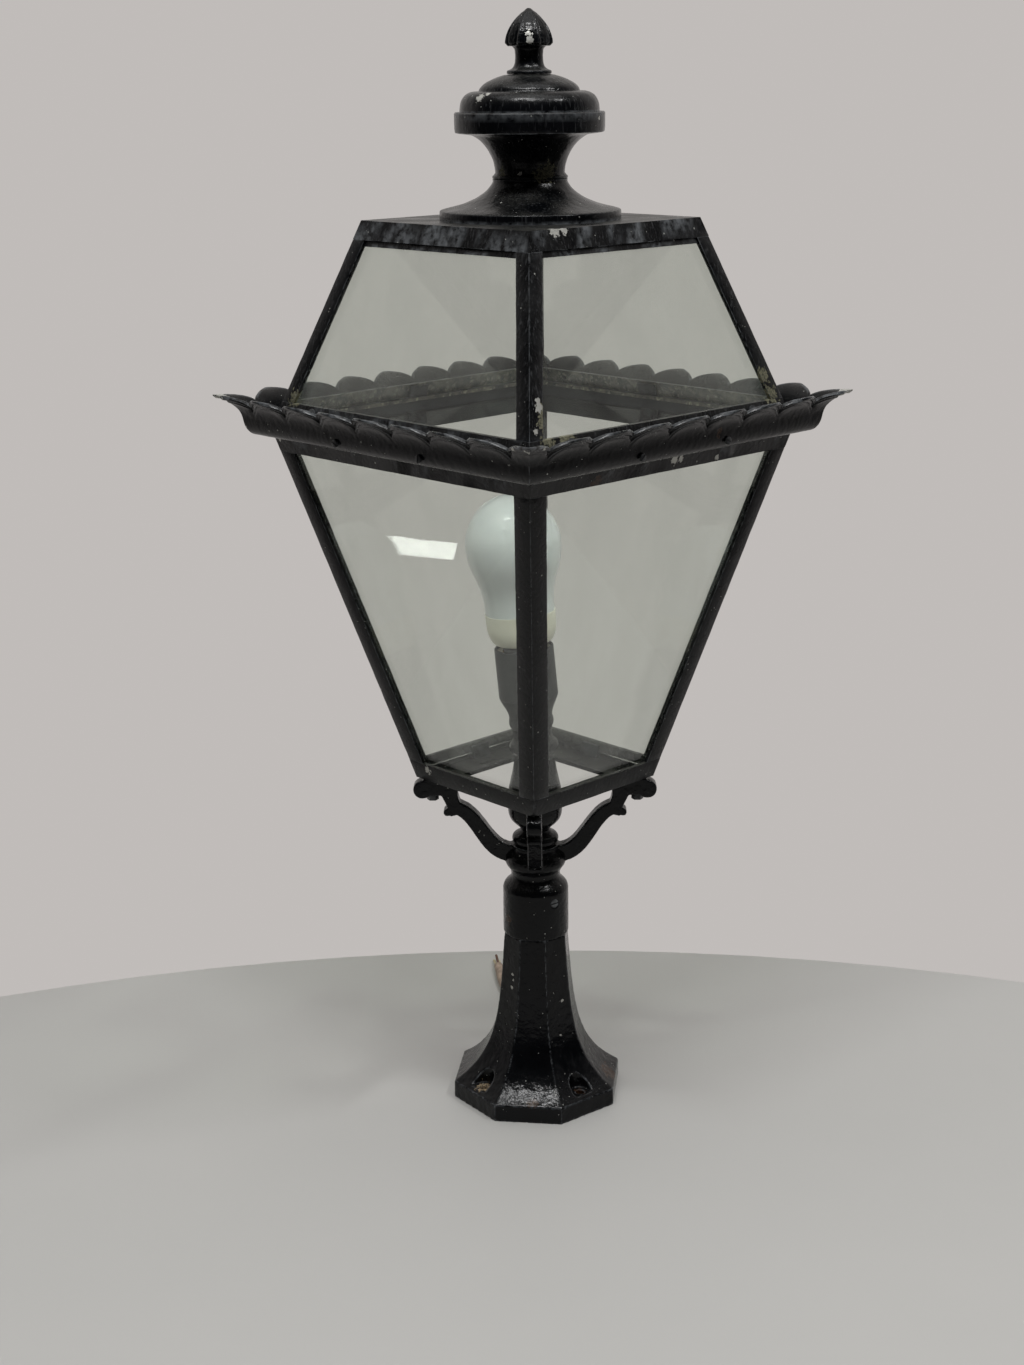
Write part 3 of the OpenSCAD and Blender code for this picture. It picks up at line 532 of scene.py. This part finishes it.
# %% [markdown]
# ### Glass, plastics, ceramic and small metal
# The panes are clear float glass, a little green where light crosses it. Light from the lamps has to pass
# through a pane to reach what stands behind it, so a pane is fully clear to shadow rays. Rubber, moulded
# plastic and the sheath of the lead are rough and take their variation from grime.
# %% Glass and small finishes
def float_glass(name):
    """Clear glass with a faint film of dust, which gives a slight grey-green veil and sharp mirroring."""
    material, tree, coords = new_finish(name)
    smears = noise_of(tree, add(tree, "Mapping", {0: coords, 3: (1.0, 1.0, 0.35)}).outputs[0], 30.0, 4.0)
    waves = bumped(tree, noise_of(tree, coords, 60.0, detail=1.0), 0.05)
    glass = add(tree, "BsdfPrincipled", {
        "Base Color": paint_chart("#edf0ec"), "Transmission Weight": 1.0, "IOR": 1.47, "Normal": waves,
        "Roughness": 0.0})
    film = add(tree, "BsdfDiffuse", {"Color": paint_chart("#b9bcb6")})
    dirt = times(tree, ramp(tree, smears, 0.4, 0.9), 0.05)
    dusty = add(tree, "MixShader", {0: dirt, 1: glass.outputs[0], 2: film.outputs[0]})
    clear = add(tree, "BsdfTransparent", {"Color": paint_chart("#eef1ed")})
    shadow = add(tree, "LightPath").outputs["Is Shadow Ray"]
    both = add(tree, "MixShader", {0: shadow, 1: dusty.outputs[0], 2: clear.outputs[0]})
    add(tree, "OutputMaterial", {"Surface": both.outputs[0]})
    print("finish:", name)
    return material


def grimy(name, clean, dirty, roughness, grain_mm=2.0, dirt=0.5, relief_mm=0.05, **more):
    """A plain finish whose colour drifts from clean to dirty in blotches."""
    material, tree, coords = new_finish(name)
    blotch = noise_of(tree, coords, grain_mm * 6, detail=4.0, roughness=0.6)
    grain = noise_of(tree, coords, grain_mm, detail=3.0)
    mask = times(tree, ramp(tree, blotch, 0.42, 0.68), dirt)
    colour = layer(tree, mask, paint_chart(clean), paint_chart(dirty))
    rough = add(tree, "MapRange", {0: grain, 1: 0.3, 2: 0.7, 3: roughness * 0.85, 4: roughness * 1.15})
    surface(tree, Base_Color=colour, Roughness=rough.outputs[0], Normal=bumped(tree, grain, relief_mm),
            **more)
    print("finish:", name)
    return material


def lichened_strip(name):
    """The old grey primer of the inside rails, blotched with round pale lichen."""
    material, tree, coords = new_finish(name)
    blotch = noise_of(tree, coords, 9.0, detail=5.0, roughness=0.65)
    fine = noise_of(tree, coords, 1.4, detail=4.0, roughness=0.7)
    colour = layer(tree, ramp(tree, blotch, 0.38, 0.62), paint_chart("#3b3c3d"), paint_chart("#737064"))
    rings = add(tree, "TexVoronoi", {"Vector": coords, "Scale": per_grain(4.5)}).outputs["Distance"]
    spots = times(tree, ramp(tree, rings, 0.42, 0.3), ramp(tree, fine, 0.42, 0.62))
    colour = layer(tree, times(tree, spots, 0.8), colour, paint_chart("#a9a593"))
    surface(tree, Base_Color=colour, Roughness=0.75, Normal=bumped(tree, fine, 0.25))
    print("finish:", name)
    return material


def frosted_bulb_glass(name):
    """Glass with a soft white coat inside: light comes through it, and shapes don't."""
    material, tree, coords = new_finish(name)
    soft = noise_of(tree, coords, 18.0, detail=2.0)
    colour = layer(tree, soft, paint_chart("#dde5e7"), paint_chart("#e6ecee"))
    surface(tree, Base_Color=colour, Roughness=0.08, IOR=1.5, Subsurface_Weight=0.25,
            Subsurface_Radius=(0.01, 0.01, 0.011), Subsurface_Scale=0.4, Coat_Weight=0.6,
            Coat_Roughness=0.03)
    print("finish:", name)
    return material


print("recipes for glass and small finishes are ready")

# %% Small finishes
# Zinc gives a soft grey shine with dark stains
zinc = grimy("zinc plated steel, dull from weather", "#7d8083", "#3b3c3c", 0.42, 1.2, 0.8, Metallic=0.9)
# Painted screw heads are nearly as dark as the castings, with a satin shine
blacked_steel = grimy("steel screw heads under brushed paint", "#26282b", "#6d6f70", 0.35, 1.0, 0.35,
                      Metallic=0.3)
# Rubber gives no shine at all, so it reads as a soft dark ring
nitrile = grimy("black rubber grommet, dusty", "#141415", "#3a3a38", 0.75, 1.5, 0.5)
# Old PVC is a dull grey pink, darker where it was handled
sheath = grimy("aged grey-pink PVC sheath of the lead", "#b39c8a", "#6f6154", 0.55, 1.6, 0.7)
# The brown core stands out between two cream ones, all with a soft plastic shine
core_brown = grimy("brown PVC core insulation", "#5f3b26", "#3f2a20", 0.5, 1.0, 0.4)
core_cream = grimy("cream PVC core insulation", "#cfc39c", "#8d8264", 0.5, 1.0, 0.4)
# Phenolic moulding is a dark grey that shows only broad soft highlights
bakelite = grimy("dark grey moulded phenolic of the lampholder", "#26282a", "#3b3d3e", 0.55, 1.2, 0.5)
# Glazed porcelain is warm white and bright at its edges
porcelain = grimy("glazed porcelain insert", "#d8d2c2", "#b9b09b", 0.2, 2.0, 0.3)
# Tarnished brass is yellow only where the contact has kept it rubbed
brass = grimy("rolled brass, tarnished", "#b08d43", "#6c5327", 0.35, 1.5, 0.5, Metallic=1.0)
# The bulb's plastic is an even cream, whiter than it is yellow
housing_plastic = grimy("cream ABS housing of the bulb", "#eceadb", "#cfcbb6", 0.38, 2.5, 0.25, 0.02)
# Phosphor is flat chalk white
phosphor = grimy("white phosphor behind clear glass", "#e3e6e6", "#cfd3d4", 0.5, 3.0, 0.2)
pane_glass = float_glass("clear float glass, 3 mm")
rail_lichen = lichened_strip("old primer with lichen")
bulb_glass_finish = frosted_bulb_glass("bulb glass, frosted inside")


# %% [markdown]
# The marks below are where this lantern has them: bare metal where a brush or a ladder struck, lichen on
# the ledges that stay damp, and rust from the steel screws. Each is a place and a radius in millimetres.
# %% Places of the marks
def marks(*places):
    """Places and radii in millimetres, as (x, y, z, radius), turned to metres."""
    return [(tuple(MM * c for c in place[:3]), MM * place[3]) for place in places]


print("places are given in millimetres")

# %% Black enamels, one for each kind of casting
# The foot is glossiest, with fine lumps that break the light, and a pale crust round one bolt hole
enamel_foot = black_enamel(
    "black enamel on the foot", lump_mm=2.0, relief_mm=0.2, gloss=0.11, dust=0.05,
    chips=marks((0, -24, 96, 1.6), (1, -24, 92, 1.2), (0, -25, 86, 2), (26, 0, 76, 1.8),
                (30, -5, 52, 1.5), (-3, -30, 40, 1.4)),
    rust=marks((48, -5, 14, 5), (44, 30, 15, 11), (36, -40, 13, 5)),
    lichen=marks((-5, -49, 14.5, 7)), crust_tones=("#6f5f4a", "#b8a588"))
# The bracket has larger lumps from its coarser mould
enamel_bracket = black_enamel(
    "black enamel on the bracket", lump_mm=2.6, relief_mm=0.28, gloss=0.18, dust=0.15,
    chips=marks((12, -13, 177, 1.8), (24, 24, 196, 1.5)), rust=marks((-5, -23, 136, 5)))
# The lower bars are flat and rubbed, so they read dull black with fine upright streaks
enamel_lower = black_enamel(
    "black enamel on the lower bars", lump_mm=3.0, relief_mm=0.2, gloss=0.26, dust=0.3, streaks=0.1,
    chips=marks((-44, -61, 248, 3.6), (121, 7, 477, 4), (121, 13, 477, 3), (120, 49, 473, 2.2),
                (60, -60, 262, 1.8), (-117, -121, 479, 2)),
    rust=marks((120, -62, 474, 4), (120, -66, 472, 3)))
# The roof bars carry the most weather: strong streaks, big chips and lichen at their feet
enamel_roof = black_enamel(
    "black enamel on the roof bars", lump_mm=2.4, relief_mm=0.25, gloss=0.26, dust=0.28, streaks=0.2,
    chips=marks((111, -103, 522, 4), (110, -103, 526, 2.5), (115, -110, 509, 2.6), (78, -56, 620, 5.5),
                (78, -48, 620, 4)),
    lichen=marks((117, -102, 503, 7), (113, -102, 514, 7), (111, -102, 520, 5), (116, -86, 504, 9),
                 (-105, -114, 506, 8), (-115, -106, 504, 8), (112, 103, 519, 7), (116, 107, 506, 8)))
# The leaves keep their gloss in the carving
enamel_leaves = black_enamel(
    "black enamel on the leaf gallery", lump_mm=2.6, relief_mm=0.14, gloss=0.22, dust=0.12,
    chips=marks((131, -143, 505, 2.4), (143, -144, 505, 3), (144, -132, 505, 2), (-147, -147, 508, 7),
                (147, 147, 508, 7)),
    lichen=marks((128, -120, 500, 7)), rust=marks((137, 31, 494, 3), (137, 31, 490, 2.4)))
# The turned finial is smooth, so its highlights are long bands
enamel_finial = black_enamel(
    "black enamel on the finial", lump_mm=2.6, relief_mm=0.16, gloss=0.2, dust=0.22, streaks=0.15,
    chips=marks((11, -10, 731, 3.2), (10, -10, 735, 2.8), (-1, -42, 697, 4), (3, -39, 700, 2.6),
                (45, 17, 684, 2), (11, -20, 650, 2)),
    lichen=marks((22, -6, 651, 8), (20, -11, 648, 6), (-3, -23, 651, 4)))
# Bare primer inside the rings is a flat blue grey
slate_primer = grimy("slate grey primer inside the rings", "#22262c", "#3c3f42", 0.6, 2.5, 0.6)

# %% [markdown]
# ## The supply cord
# The lead leaves a rubber grommet at the back of the foot, drops to the table and ends bare: 15 cm of
# sheath, and three short cores that have spread a little where the sheath was cut back. It follows the
# machine model's own route.
# %% Cord
def tube(name, points, thickness, curve_steps=5):
    """A round tube of that thickness through a list of points, as a mesh."""
    focus(None)
    bpy.ops.curve.primitive_bezier_curve_add()
    obj = bpy.context.object
    obj.name = obj.data.name = name
    curve = obj.data
    curve.dimensions = "3D"
    curve.resolution_u = curve_steps
    curve.bevel_depth = thickness / 2
    curve.bevel_resolution = 5
    curve.use_fill_caps = True
    line = curve.splines[0]
    line.bezier_points.add(len(points) - len(line.bezier_points))
    for point, place in zip(line.bezier_points, points):
        point.co = place
        point.handle_left_type = point.handle_right_type = "AUTO"
    focus(obj)
    bpy.ops.object.convert(target="MESH")
    return obj


def along(points):
    """The length of a line through points."""
    return sum((b - a).length for a, b in zip(points, points[1:]))


cord_route = [MM * Vector(p) for p in (
    (-37, 46, 6.5), (-42, 52, 6), (-48, 59, 5), (-56, 66, 4), (-65, 71, 3.6),
    (-75, 75, 3.6), (-86, 78, 3.6), (-97, 81, 3.6), (-108, 84, 3.6), (-119, 88, 3.6),
    (-130, 93, 3.6), (-141, 100, 3.6), (-152, 108, 3.6), (-162, 116, 3.6), (-166, 119, 3.6))]
cord_thickness = 7 * MM
cord = tube("supply_cord_sheath", cord_route, cord_thickness)
roughen(cord, 0.12 * MM, 3 * MM)  # the sheath is never quite round
finish_piece(cord, "pedestal", sheath, ["supply_cord"])

print("sheath of", round(along(cord_route), 4), "m")

# %% Cores and grommet
heading = Vector((-0.8, 0.6, 0.0))
aside = Vector((0.6, 0.8, 0.0))
for k, (finish, length) in enumerate(((core_brown, 15), (core_cream, 13), (core_cream, 11))):
    around = math.radians(90 + 120 * k)
    offset = 1.6 * (math.cos(around) * aside + math.sin(around) * Vector((0, 0, 1)))
    start = cord_route[-1] + MM * (offset + Vector((0, 0, 0.3)))
    steps = [start + MM * (t * length * heading + 0.5 * t * t * offset) for t in (-0.1, 0.3, 0.65, 0.99)]
    core = tube(f"cord_core_{k + 1}", steps, 2.2 * MM, 4)
    finish_piece(core, "pedestal", finish, ["cord_cores"])

grommet = from_machine("cable_grommet")
soften(grommet, 0.5 * MM)
finish_piece(grommet, "pedestal", nitrile, ["cable_grommet"])
print("cord and grommet are made")

# %% [markdown]
# ## Foot and bracket
# The foot is one sand casting: eight facets that flare out to an upright rim, with a flat faced at each
# bolt hole. The bracket is another, whose four arms grow out of the hub with fillets. Both get one even
# skin, round edges and the lumps of the sand under the paint.
# %% Foot
foot = from_machine("pedestal_column")
recast(foot, 0.8 * MM, 3)
roughen(foot, 0.16 * MM, 5 * MM, seed=3.0)
for v in foot.data.vertices:  # the underside was ground flat to stand on
    v.co.z = max(0.0, v.co.z)
mark_wear(foot, start=0.045, full=0.12)
finish_piece(foot, "pedestal", enamel_foot, ["pedestal_column"])

# %% Bracket and its screws
bracket = from_machine("head_bracket")
recast(bracket, 0.6 * MM, 5)
roughen(bracket, 0.12 * MM, 4 * MM, seed=7.0)
mark_wear(bracket)
finish_piece(bracket, "head", enamel_bracket, ["head_bracket"])


def small_part(node, body, material, edge=0.35):
    """A machined or pressed part that only needs its edges broken."""
    obj = from_machine(node)
    soften(obj, edge * MM)
    mark_wear(obj)
    return finish_piece(obj, body, material, [node])


small_part("collar_screws", "head", zinc, 0.4)
small_part("arm_bolts", "head", blacked_steel, 0.5)
small_part("arm_nuts", "head", zinc, 0.4)

# %% [markdown]
# ## Stem and lampholder
# These are turned or spun parts, so each outline is taken from the machine model and spun afresh with
# enough steps to look round. The ones above the lowest knob lean a little, as the old fitting does.
# %% Stem and lampholder
def turned_part(node, body, material, lean=False, steps=72, lumps=0.0):
    """A turned or spun part, with lumps of that many millimetres if it was cast first."""
    obj = spun_from_machine(node, lean=lean, steps=steps)
    if lumps:
        roughen(obj, lumps * MM, 4 * MM, seed=len(node))
    mark_wear(obj)
    return finish_piece(obj, body, material, [node])


turned_part("stem_ring", "head", enamel_bracket, lumps=0.08)
turned_part("stem_cup", "head", enamel_bracket, lumps=0.08)
turned_part("stem_vase", "head", enamel_bracket, lumps=0.08)
turned_part("stem_knob", "head", enamel_bracket, lean=True, lumps=0.08)
turned_part("lampholder_cap", "head", bakelite, lean=True)
turned_part("lampholder_skirt", "head", bakelite, lean=True)

# %% [markdown]
# ## Bulb
# An energy saving bulb: a frosted glass envelope over a cream plastic housing.
# %% Bulb
turned_part("bulb_glass", "bulb", bulb_glass_finish, lean=True, steps=64)
turned_part("bulb_housing", "bulb", housing_plastic, lean=True, steps=64)

# %% [markdown]
# ## Frames
# The rings and posts are cast flat and thin. Their edges are rubbed, and no face is quite flat, so a
# highlight along a bar wavers. The inside of the roof rail keeps its old primer, blotched with lichen.
# %% Frames
def frame_bar(node, body, material, axes, seed):
    """A cast frame part, sliced across its length so that its faces can waver."""
    obj = from_machine(node)
    soften(obj, 0.6 * MM)
    cut_across(obj, axes, 5 * MM)
    roughen(obj, 0.16 * MM, 9 * MM, seed)
    mark_wear(obj, start=0.13)
    return finish_piece(obj, body, material, [node])


def line_inside(obj, material):
    """Gives the faces that look in, towards the lantern's axis, a finish of their own."""
    obj.data.materials.append(material)
    for face in obj.data.polygons:
        inward = -(face.normal.x * face.center.x + face.normal.y * face.center.y)
        if inward > 0.6 * Vector(face.center.xy).length:
            face.material_index = len(obj.data.materials) - 1


frame_bar("bottom_ring", "head", enamel_lower, (0, 1), 1.0)
top_ring = frame_bar("top_ring", "head", enamel_lower, (0, 1), 2.0)
line_inside(top_ring, slate_primer)
roof_ring = frame_bar("roof_ring", "roof", enamel_roof, (0, 1), 3.0)
line_inside(roof_ring, rail_lichen)
frame_bar("roof_cap", "roof", enamel_roof, (0, 1), 4.0)
for k, corner in enumerate(("ne", "nw", "sw", "se")):
    frame_bar(f"lower_post_{corner}", "head", enamel_lower, (2,), 11.0 + k)
    frame_bar(f"roof_post_{corner}", "roof", enamel_roof, (2,), 21.0 + k)

# %% Panes, and the tabs that hold them
for side in ("east", "north", "west", "south"):
    for level, body in (("lower", "head"), ("roof", "roof")):
        pane = from_machine(f"{level}_glass_{side}")
        soften(pane, 0.25 * MM, segments=1)
        finish_piece(pane, body, pane_glass, [f"{level}_glass_{side}"], smooth=20)
small_part("lower_glass_clips", "head", enamel_lower)

# %% [markdown]
# ## Leaf gallery
# Each side is a length of gutter whose outer edge curls out in a crest of seven leaves, with half a leaf
# at each mitred corner. A sheet is wrapped round the section, and its crest dips into a notch between
# leaves. Ribs follow each leaf's edge on a slant towards the corner, and a hollow eye with a short furrow
# sits under each notch. Lower down, the face is smooth.
# %% Gallery: sizes and curves
gallery_low, gallery_high = (Vector(c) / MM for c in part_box("gallery_east"))
tip_out, tip_z, gallery_z = gallery_high.x, gallery_high.z, gallery_low.z
notch_z = tip_z - 7.1  # the crest dips this far between leaves
leaf_pitch, whole_leaves = 35.0, 7
corner_at = leaf_pitch * whole_leaves / 2


def bezier(points, t):
    """The place on a cubic curve at t from 0 to 1."""
    a, b, c, d = (Vector(p) for p in points)
    s = 1 - t
    return s ** 3 * a + 3 * s * s * t * b + 3 * s * t * t * c + t ** 3 * d


def where_height(points, z):
    """The t at which a steadily rising or falling curve reaches height z."""
    low, high = 0.0, 1.0
    falls = points[0][1] > points[3][1]
    for _ in range(24):
        middle = (low + high) / 2
        if (bezier(points, middle).y < z) != falls:
            low = middle
        else:
            high = middle
    return low


def bell(x, width):
    """A smooth bump, 1 high at x = 0."""
    return math.exp(-(x / width) ** 2)


print("crest at", round(tip_z, 1), "mm, notches at", round(notch_z, 1), "mm")

# %% Gallery: carving of the leaves
rib_lines = ((1.2, 0.5), (2.8, -0.55), (4.5, 0.5), (6.3, -0.4), (8.0, 0.3))  # (depth below crest, height)
rib_slant = 0.13
carved_depth = 9.5


def leaf_at(u):
    """The middle and the half width of the leaf over a place along the side."""
    if abs(u) > corner_at:
        return math.copysign(tip_out, u), tip_out - corner_at
    return leaf_pitch * round(u / leaf_pitch), leaf_pitch / 2


def leaf_relief(u, below):
    """Height of the carving, in mm, at a distance below the crest."""
    middle, half_width = leaf_at(u)
    across = min(1.0, abs(u - middle) / half_width)
    from_notch = (1 - across) * half_width
    slanted = below - rib_slant * (u - middle) * math.copysign(1.0, u)
    ribs = sum(height * bell(slanted - depth, 0.8) for depth, height in rib_lines)
    eye = -0.7 * bell(from_notch, 2.0) * bell(below - 3.0, 1.6)
    furrow = -0.5 * bell(from_notch - 0.35 * below, 1.2) * bell(max(0.0, below - 4.0), 3.0)
    crown = 0.5 * (1 - across ** 2) * math.sin(math.pi * min(1.0, below / 13))
    fade = 1 / (1 + math.exp((below - carved_depth) / 1.3))
    return fade * (ribs * (1 - bell(from_notch, 1.3)) + eye + furrow) + crown


print("each leaf has", len(rib_lines), "ribs and furrows")

# %% Gallery: section
# Bezier points of the face, the crest's curl and its back, as (distance out, height) in mm
belly = ((129.5, gallery_z), (133.6, gallery_z + 0.3), (135.6, 486.5), (136.2, 492))
curl = ((136.2, 492), (137.2, 500), (142.5, 506), (tip_out, tip_z - 1.3))
back = ((tip_out - 0.4, tip_z), (141, tip_z - 0.4), (134, 501), (132.9, 492.5))
gutter = ((131.6, 490.6), (128, 490.6), (124.2, 490.6), (124.2, 487), (124.2, 483.4), (122.7, 483.4),
          (122.7, 482.5), (122.7, gallery_z), (126, gallery_z))


def gallery_section(u):
    """The closed outline of the side at one place along it, as (distance out, height)."""
    middle, half_width = leaf_at(u)
    across = min(1.0, abs(u - middle) / half_width)
    crest = notch_z + (tip_z - notch_z) * math.sqrt(1 - across ** 2.2)
    under = crest - 1.3 * (crest - notch_z) / (tip_z - notch_z) - 0.25
    last, first = where_height(curl, under), where_height(back, crest)
    face = [bezier(belly, i / 9) for i in range(9)] + [bezier(curl, last * i / 26) for i in range(27)]
    run = [0.0]
    for a, b in zip(face[::-1], face[-2::-1]):
        run.append(run[-1] + (a - b).length)
    carved = []
    for i, (point, below) in enumerate(zip(face, run[::-1])):
        step = face[min(i + 1, len(face) - 1)] - face[max(i - 1, 0)]
        outward = Vector((step.y, -step.x)).normalized()
        carved.append(point + leaf_relief(u, below) * outward)
    inner = [bezier(back, first + (1 - first) * i / 9) for i in range(10)]
    edge = (carved[-1] + inner[0]) / 2 + 0.45 * (face[-1] - face[-2]).normalized()
    return carved + [edge] + inner + [Vector(p) for p in gutter]


print("section of", len(gallery_section(0.0)), "points")

# %% Gallery: one side, then four
columns = 280
overrun = 1.5  # mm past the mitre, which the bisects cut off
rows = len(gallery_section(0.0))
side_east = primitive("grid", "gallery_east_finished", x_subdivisions=columns, y_subdivisions=rows, size=2)
sections = {}
for v in side_east.data.vertices:
    column, row = round((v.co.x + 1) / 2 * columns), round((v.co.y + 1) / 2 * rows) % rows
    if column not in sections:
        sections[column] = gallery_section((2 * column / columns - 1) * (tip_out + overrun))
    out, height = sections[column][row]
    v.co = MM * Vector((out, v.co.x * (tip_out + overrun), height))
with editing(side_east):
    bpy.ops.mesh.remove_doubles(threshold=1e-6)
    for sign in (1, -1):
        bpy.ops.mesh.select_all(action="SELECT")
        bpy.ops.mesh.bisect(plane_co=(0, 0, 0), plane_no=(-1, sign, 0), clear_outer=True, use_fill=True)
    bpy.ops.mesh.select_all(action="SELECT")
    bpy.ops.mesh.normals_make_consistent(inside=False)
for y in (-40, 40):
    seat = primitive("cylinder", "screw_seat", radius=2.8 * MM, depth=10 * MM, vertices=32,
                     location=(MM * (136.1 + 5), MM * y, MM * 487), rotation=(0, math.pi / 2, 0))
    carve(side_east, seat)
roughen(side_east, 0.09 * MM, 3 * MM, seed=5.0)
mark_wear(side_east)
for k, side in enumerate(("east", "north", "west", "south")):
    obj = side_east if k == 0 else twin(side_east, f"gallery_{side}_finished", 90.0 * k)
    finish_piece(obj, "head", enamel_leaves, [f"gallery_{side}"], smooth=55)

# %% [markdown]
# ## Screws and hinges
# Round slotted heads hold the gallery and the roof panes. The hinges lie in the gutter, out of sight.
# %% Screws and hinges
def slotted(node, body, centres, depth, width=0.9, edge=0.35):
    """Screws whose heads are cut with a slot, each turned as it was left."""
    obj = from_machine(node)
    soften(obj, edge * MM)
    for k, (centre, outward) in enumerate(centres):
        spin = Matrix.Rotation(0.7 + 1.9 * k, 4, outward)
        place = Matrix.Translation(centre) @ spin @ outward.to_track_quat("Z", "Y").to_matrix().to_4x4()
        cutter = primitive("cube", "slot_cutter", size=1)
        cutter.data.transform(Matrix.Diagonal((12 * MM, width * MM, 2 * depth * MM, 1)))
        cutter.data.transform(place)
        carve(obj, cutter)
    return finish_piece(obj, body, blacked_steel, [node])


quarter_turns = [Matrix.Rotation(math.radians(90 * k), 3, "Z") for k in range(4)]
gallery_heads = [(q @ Vector((MM * 137.0, MM * y, MM * 487)), q @ Vector((1, 0, 0)))
                 for q in quarter_turns for y in (-40, 40)]
slotted("gallery_screws", "head", gallery_heads, 0.7)
small_part("roof_clips_and_screws", "roof", blacked_steel)
small_part("hinge_fixed_leaves", "head", blacked_steel, 0.25)
small_part("hinge_moving_leaves", "roof", blacked_steel, 0.25)
small_part("hinge_pins", "head", zinc, 0.25)

# %% [markdown]
# ## Finial
# Three turned castings and an acorn of eight petals, all drawn together by the tie rod.
# %% Finial
turned_part("finial_foot", "roof", enamel_finial, steps=96, lumps=0.12)
turned_part("finial_cup", "roof", enamel_finial, steps=96, lumps=0.12)
turned_part("finial_lid", "roof", enamel_finial, steps=96, lumps=0.12)

acorn = from_machine("acorn_finial")
recast(acorn, 0.45 * MM, 3)
petal_foot, petal_tip = 729.4 * MM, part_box("acorn_finial")[1].z


def petals(place):
    """A groove beside each of the eight ridges, which runs out at the tip."""
    rise = (place.z - petal_foot) / (petal_tip - petal_foot)
    if rise < -0.05:
        return 0.0
    azimuth = math.degrees(math.atan2(place.y, place.x))
    off_ridge = abs((azimuth % 45) - 22.5) * math.radians(1) * place.xy.length / MM
    return -0.35 * MM * bell(off_ridge - 2.4 * (1 - rise), 0.8) * min(1.0, 4 * (1 - rise))


swell(acorn, petals)
roughen(acorn, 0.12 * MM, 2.5 * MM, seed=9.0)
mark_wear(acorn)
finish_piece(acorn, "roof", enamel_finial, ["acorn_finial"])
small_part("tie_rod", "roof", zinc, 0.4)

# %% [markdown]
# ## Machine parts that keep their own shape
# What is left is hidden or nearly so, and its machined shape is already right. It only gets its finish.
# %% Finishes for the machine parts
for node, finish in {
        "lead_lower": sheath, "lead_upper": sheath, "stem_tube": zinc, "holder_nipple": zinc,
        "lampholder_insert": porcelain, "thread_shell": brass, "centre_contact": brass,
        "bulb_cap": zinc, "discharge_tube": phosphor}.items():
    machine_part = frame["nodes"][node]
    machine_part.data.materials.clear()
    machine_part.data.materials.append(finish)
    print("finish on", node)

# %% [markdown]
# ## Studio
# A plain pale round table top is the floor. A broad soft panel and two narrow bright strips hang
# overhead, so lumpy black gloss breaks their light into crumbs. A small bright window stands to one side,
# where a back pane mirrors it.
# %% Floor
studio_paint, tree, coords = new_finish("matte pale studio paint")
floor_tone = layer(tree, noise_of(tree, coords, 180.0), paint_chart("#bdbdba"), paint_chart("#c3c2bf"))
surface(tree, Base_Color=floor_tone, Roughness=0.55)
floor = primitive("circle", "studio_floor", vertices=128, radius=1.16, fill_type="NGON",
                  location=turn @ Vector((0, -0.92, 0)))
floor.data.materials.append(studio_paint)
print("the floor is staged")


# %% Lights
def panel(name, place, width, height, power, roll_deg=0.0):
    """A soft rectangular light that faces the lantern. Its place is as the viewer sees it."""
    data = bpy.data.lights.new(name, "AREA")
    data.shape = "RECTANGLE"
    data.size, data.size_y = width, height
    data.energy = power
    obj = bpy.data.objects.new(name, data)
    bpy.context.scene.collection.objects.link(obj)
    obj.location = turn @ Vector(place)
    obj.rotation_mode = "QUATERNION"
    facing_lantern = (Vector((0, 0, 0.45)) - obj.location).to_track_quat("-Z", "Y")
    obj.rotation_quaternion = facing_lantern @ Quaternion((0, 0, 1), math.radians(roll_deg))
    return obj


panel("overhead_panel", (0.0, -0.3, 2.3), 2.2, 1.4, 15)
panel("front_strip", (-0.1, -0.75, 2.1), 0.8, 0.07, 17)
panel("side_strip", (1.0, -0.5, 1.9), 0.4, 0.07, 7)
panel("window", (1.8, -0.108, 0.712), 0.125, 0.026, 0.22, roll_deg=-27)

# %% [markdown]
# The air of the studio is pale wherever the eye looks through to it. What the paint mirrors is another
# matter: a pale wall stands behind the lantern and a dim room behind the viewer, so gloss black keeps
# deep blacks in front and pale rims at the sides.
# %% Studio air
world = bpy.data.worlds.new("studio air")
bpy.context.scene.world = world
world.use_nodes = True
tree = world.node_tree
tree.nodes.clear()
direction = add(tree, "TexCoord").outputs["Generated"]
behind = add(tree, "VectorMath", {0: direction, 1: turn @ Vector((0, 1, 0))}, operation="DOT_PRODUCT")
wall = add(tree, "MapRange", {0: behind.outputs["Value"], 1: -0.15, 2: 0.45, 3: 0.03, 4: 0.75})
path = add(tree, "LightPath")
seen = most_of(tree, path.outputs["Is Camera Ray"], path.outputs["Is Transmission Ray"])
strength = add(tree, "MapRange", {0: seen, 1: 0.0, 2: 1.0, 3: wall.outputs[0], 4: 0.74})
air = add(tree, "Background", {0: paint_chart("#dcd7d4"), 1: strength.outputs[0]})
add(tree, "OutputWorld", {0: air.outputs[0]})
bpy.context.scene.view_settings.view_transform = "Standard"
print("lights are up")
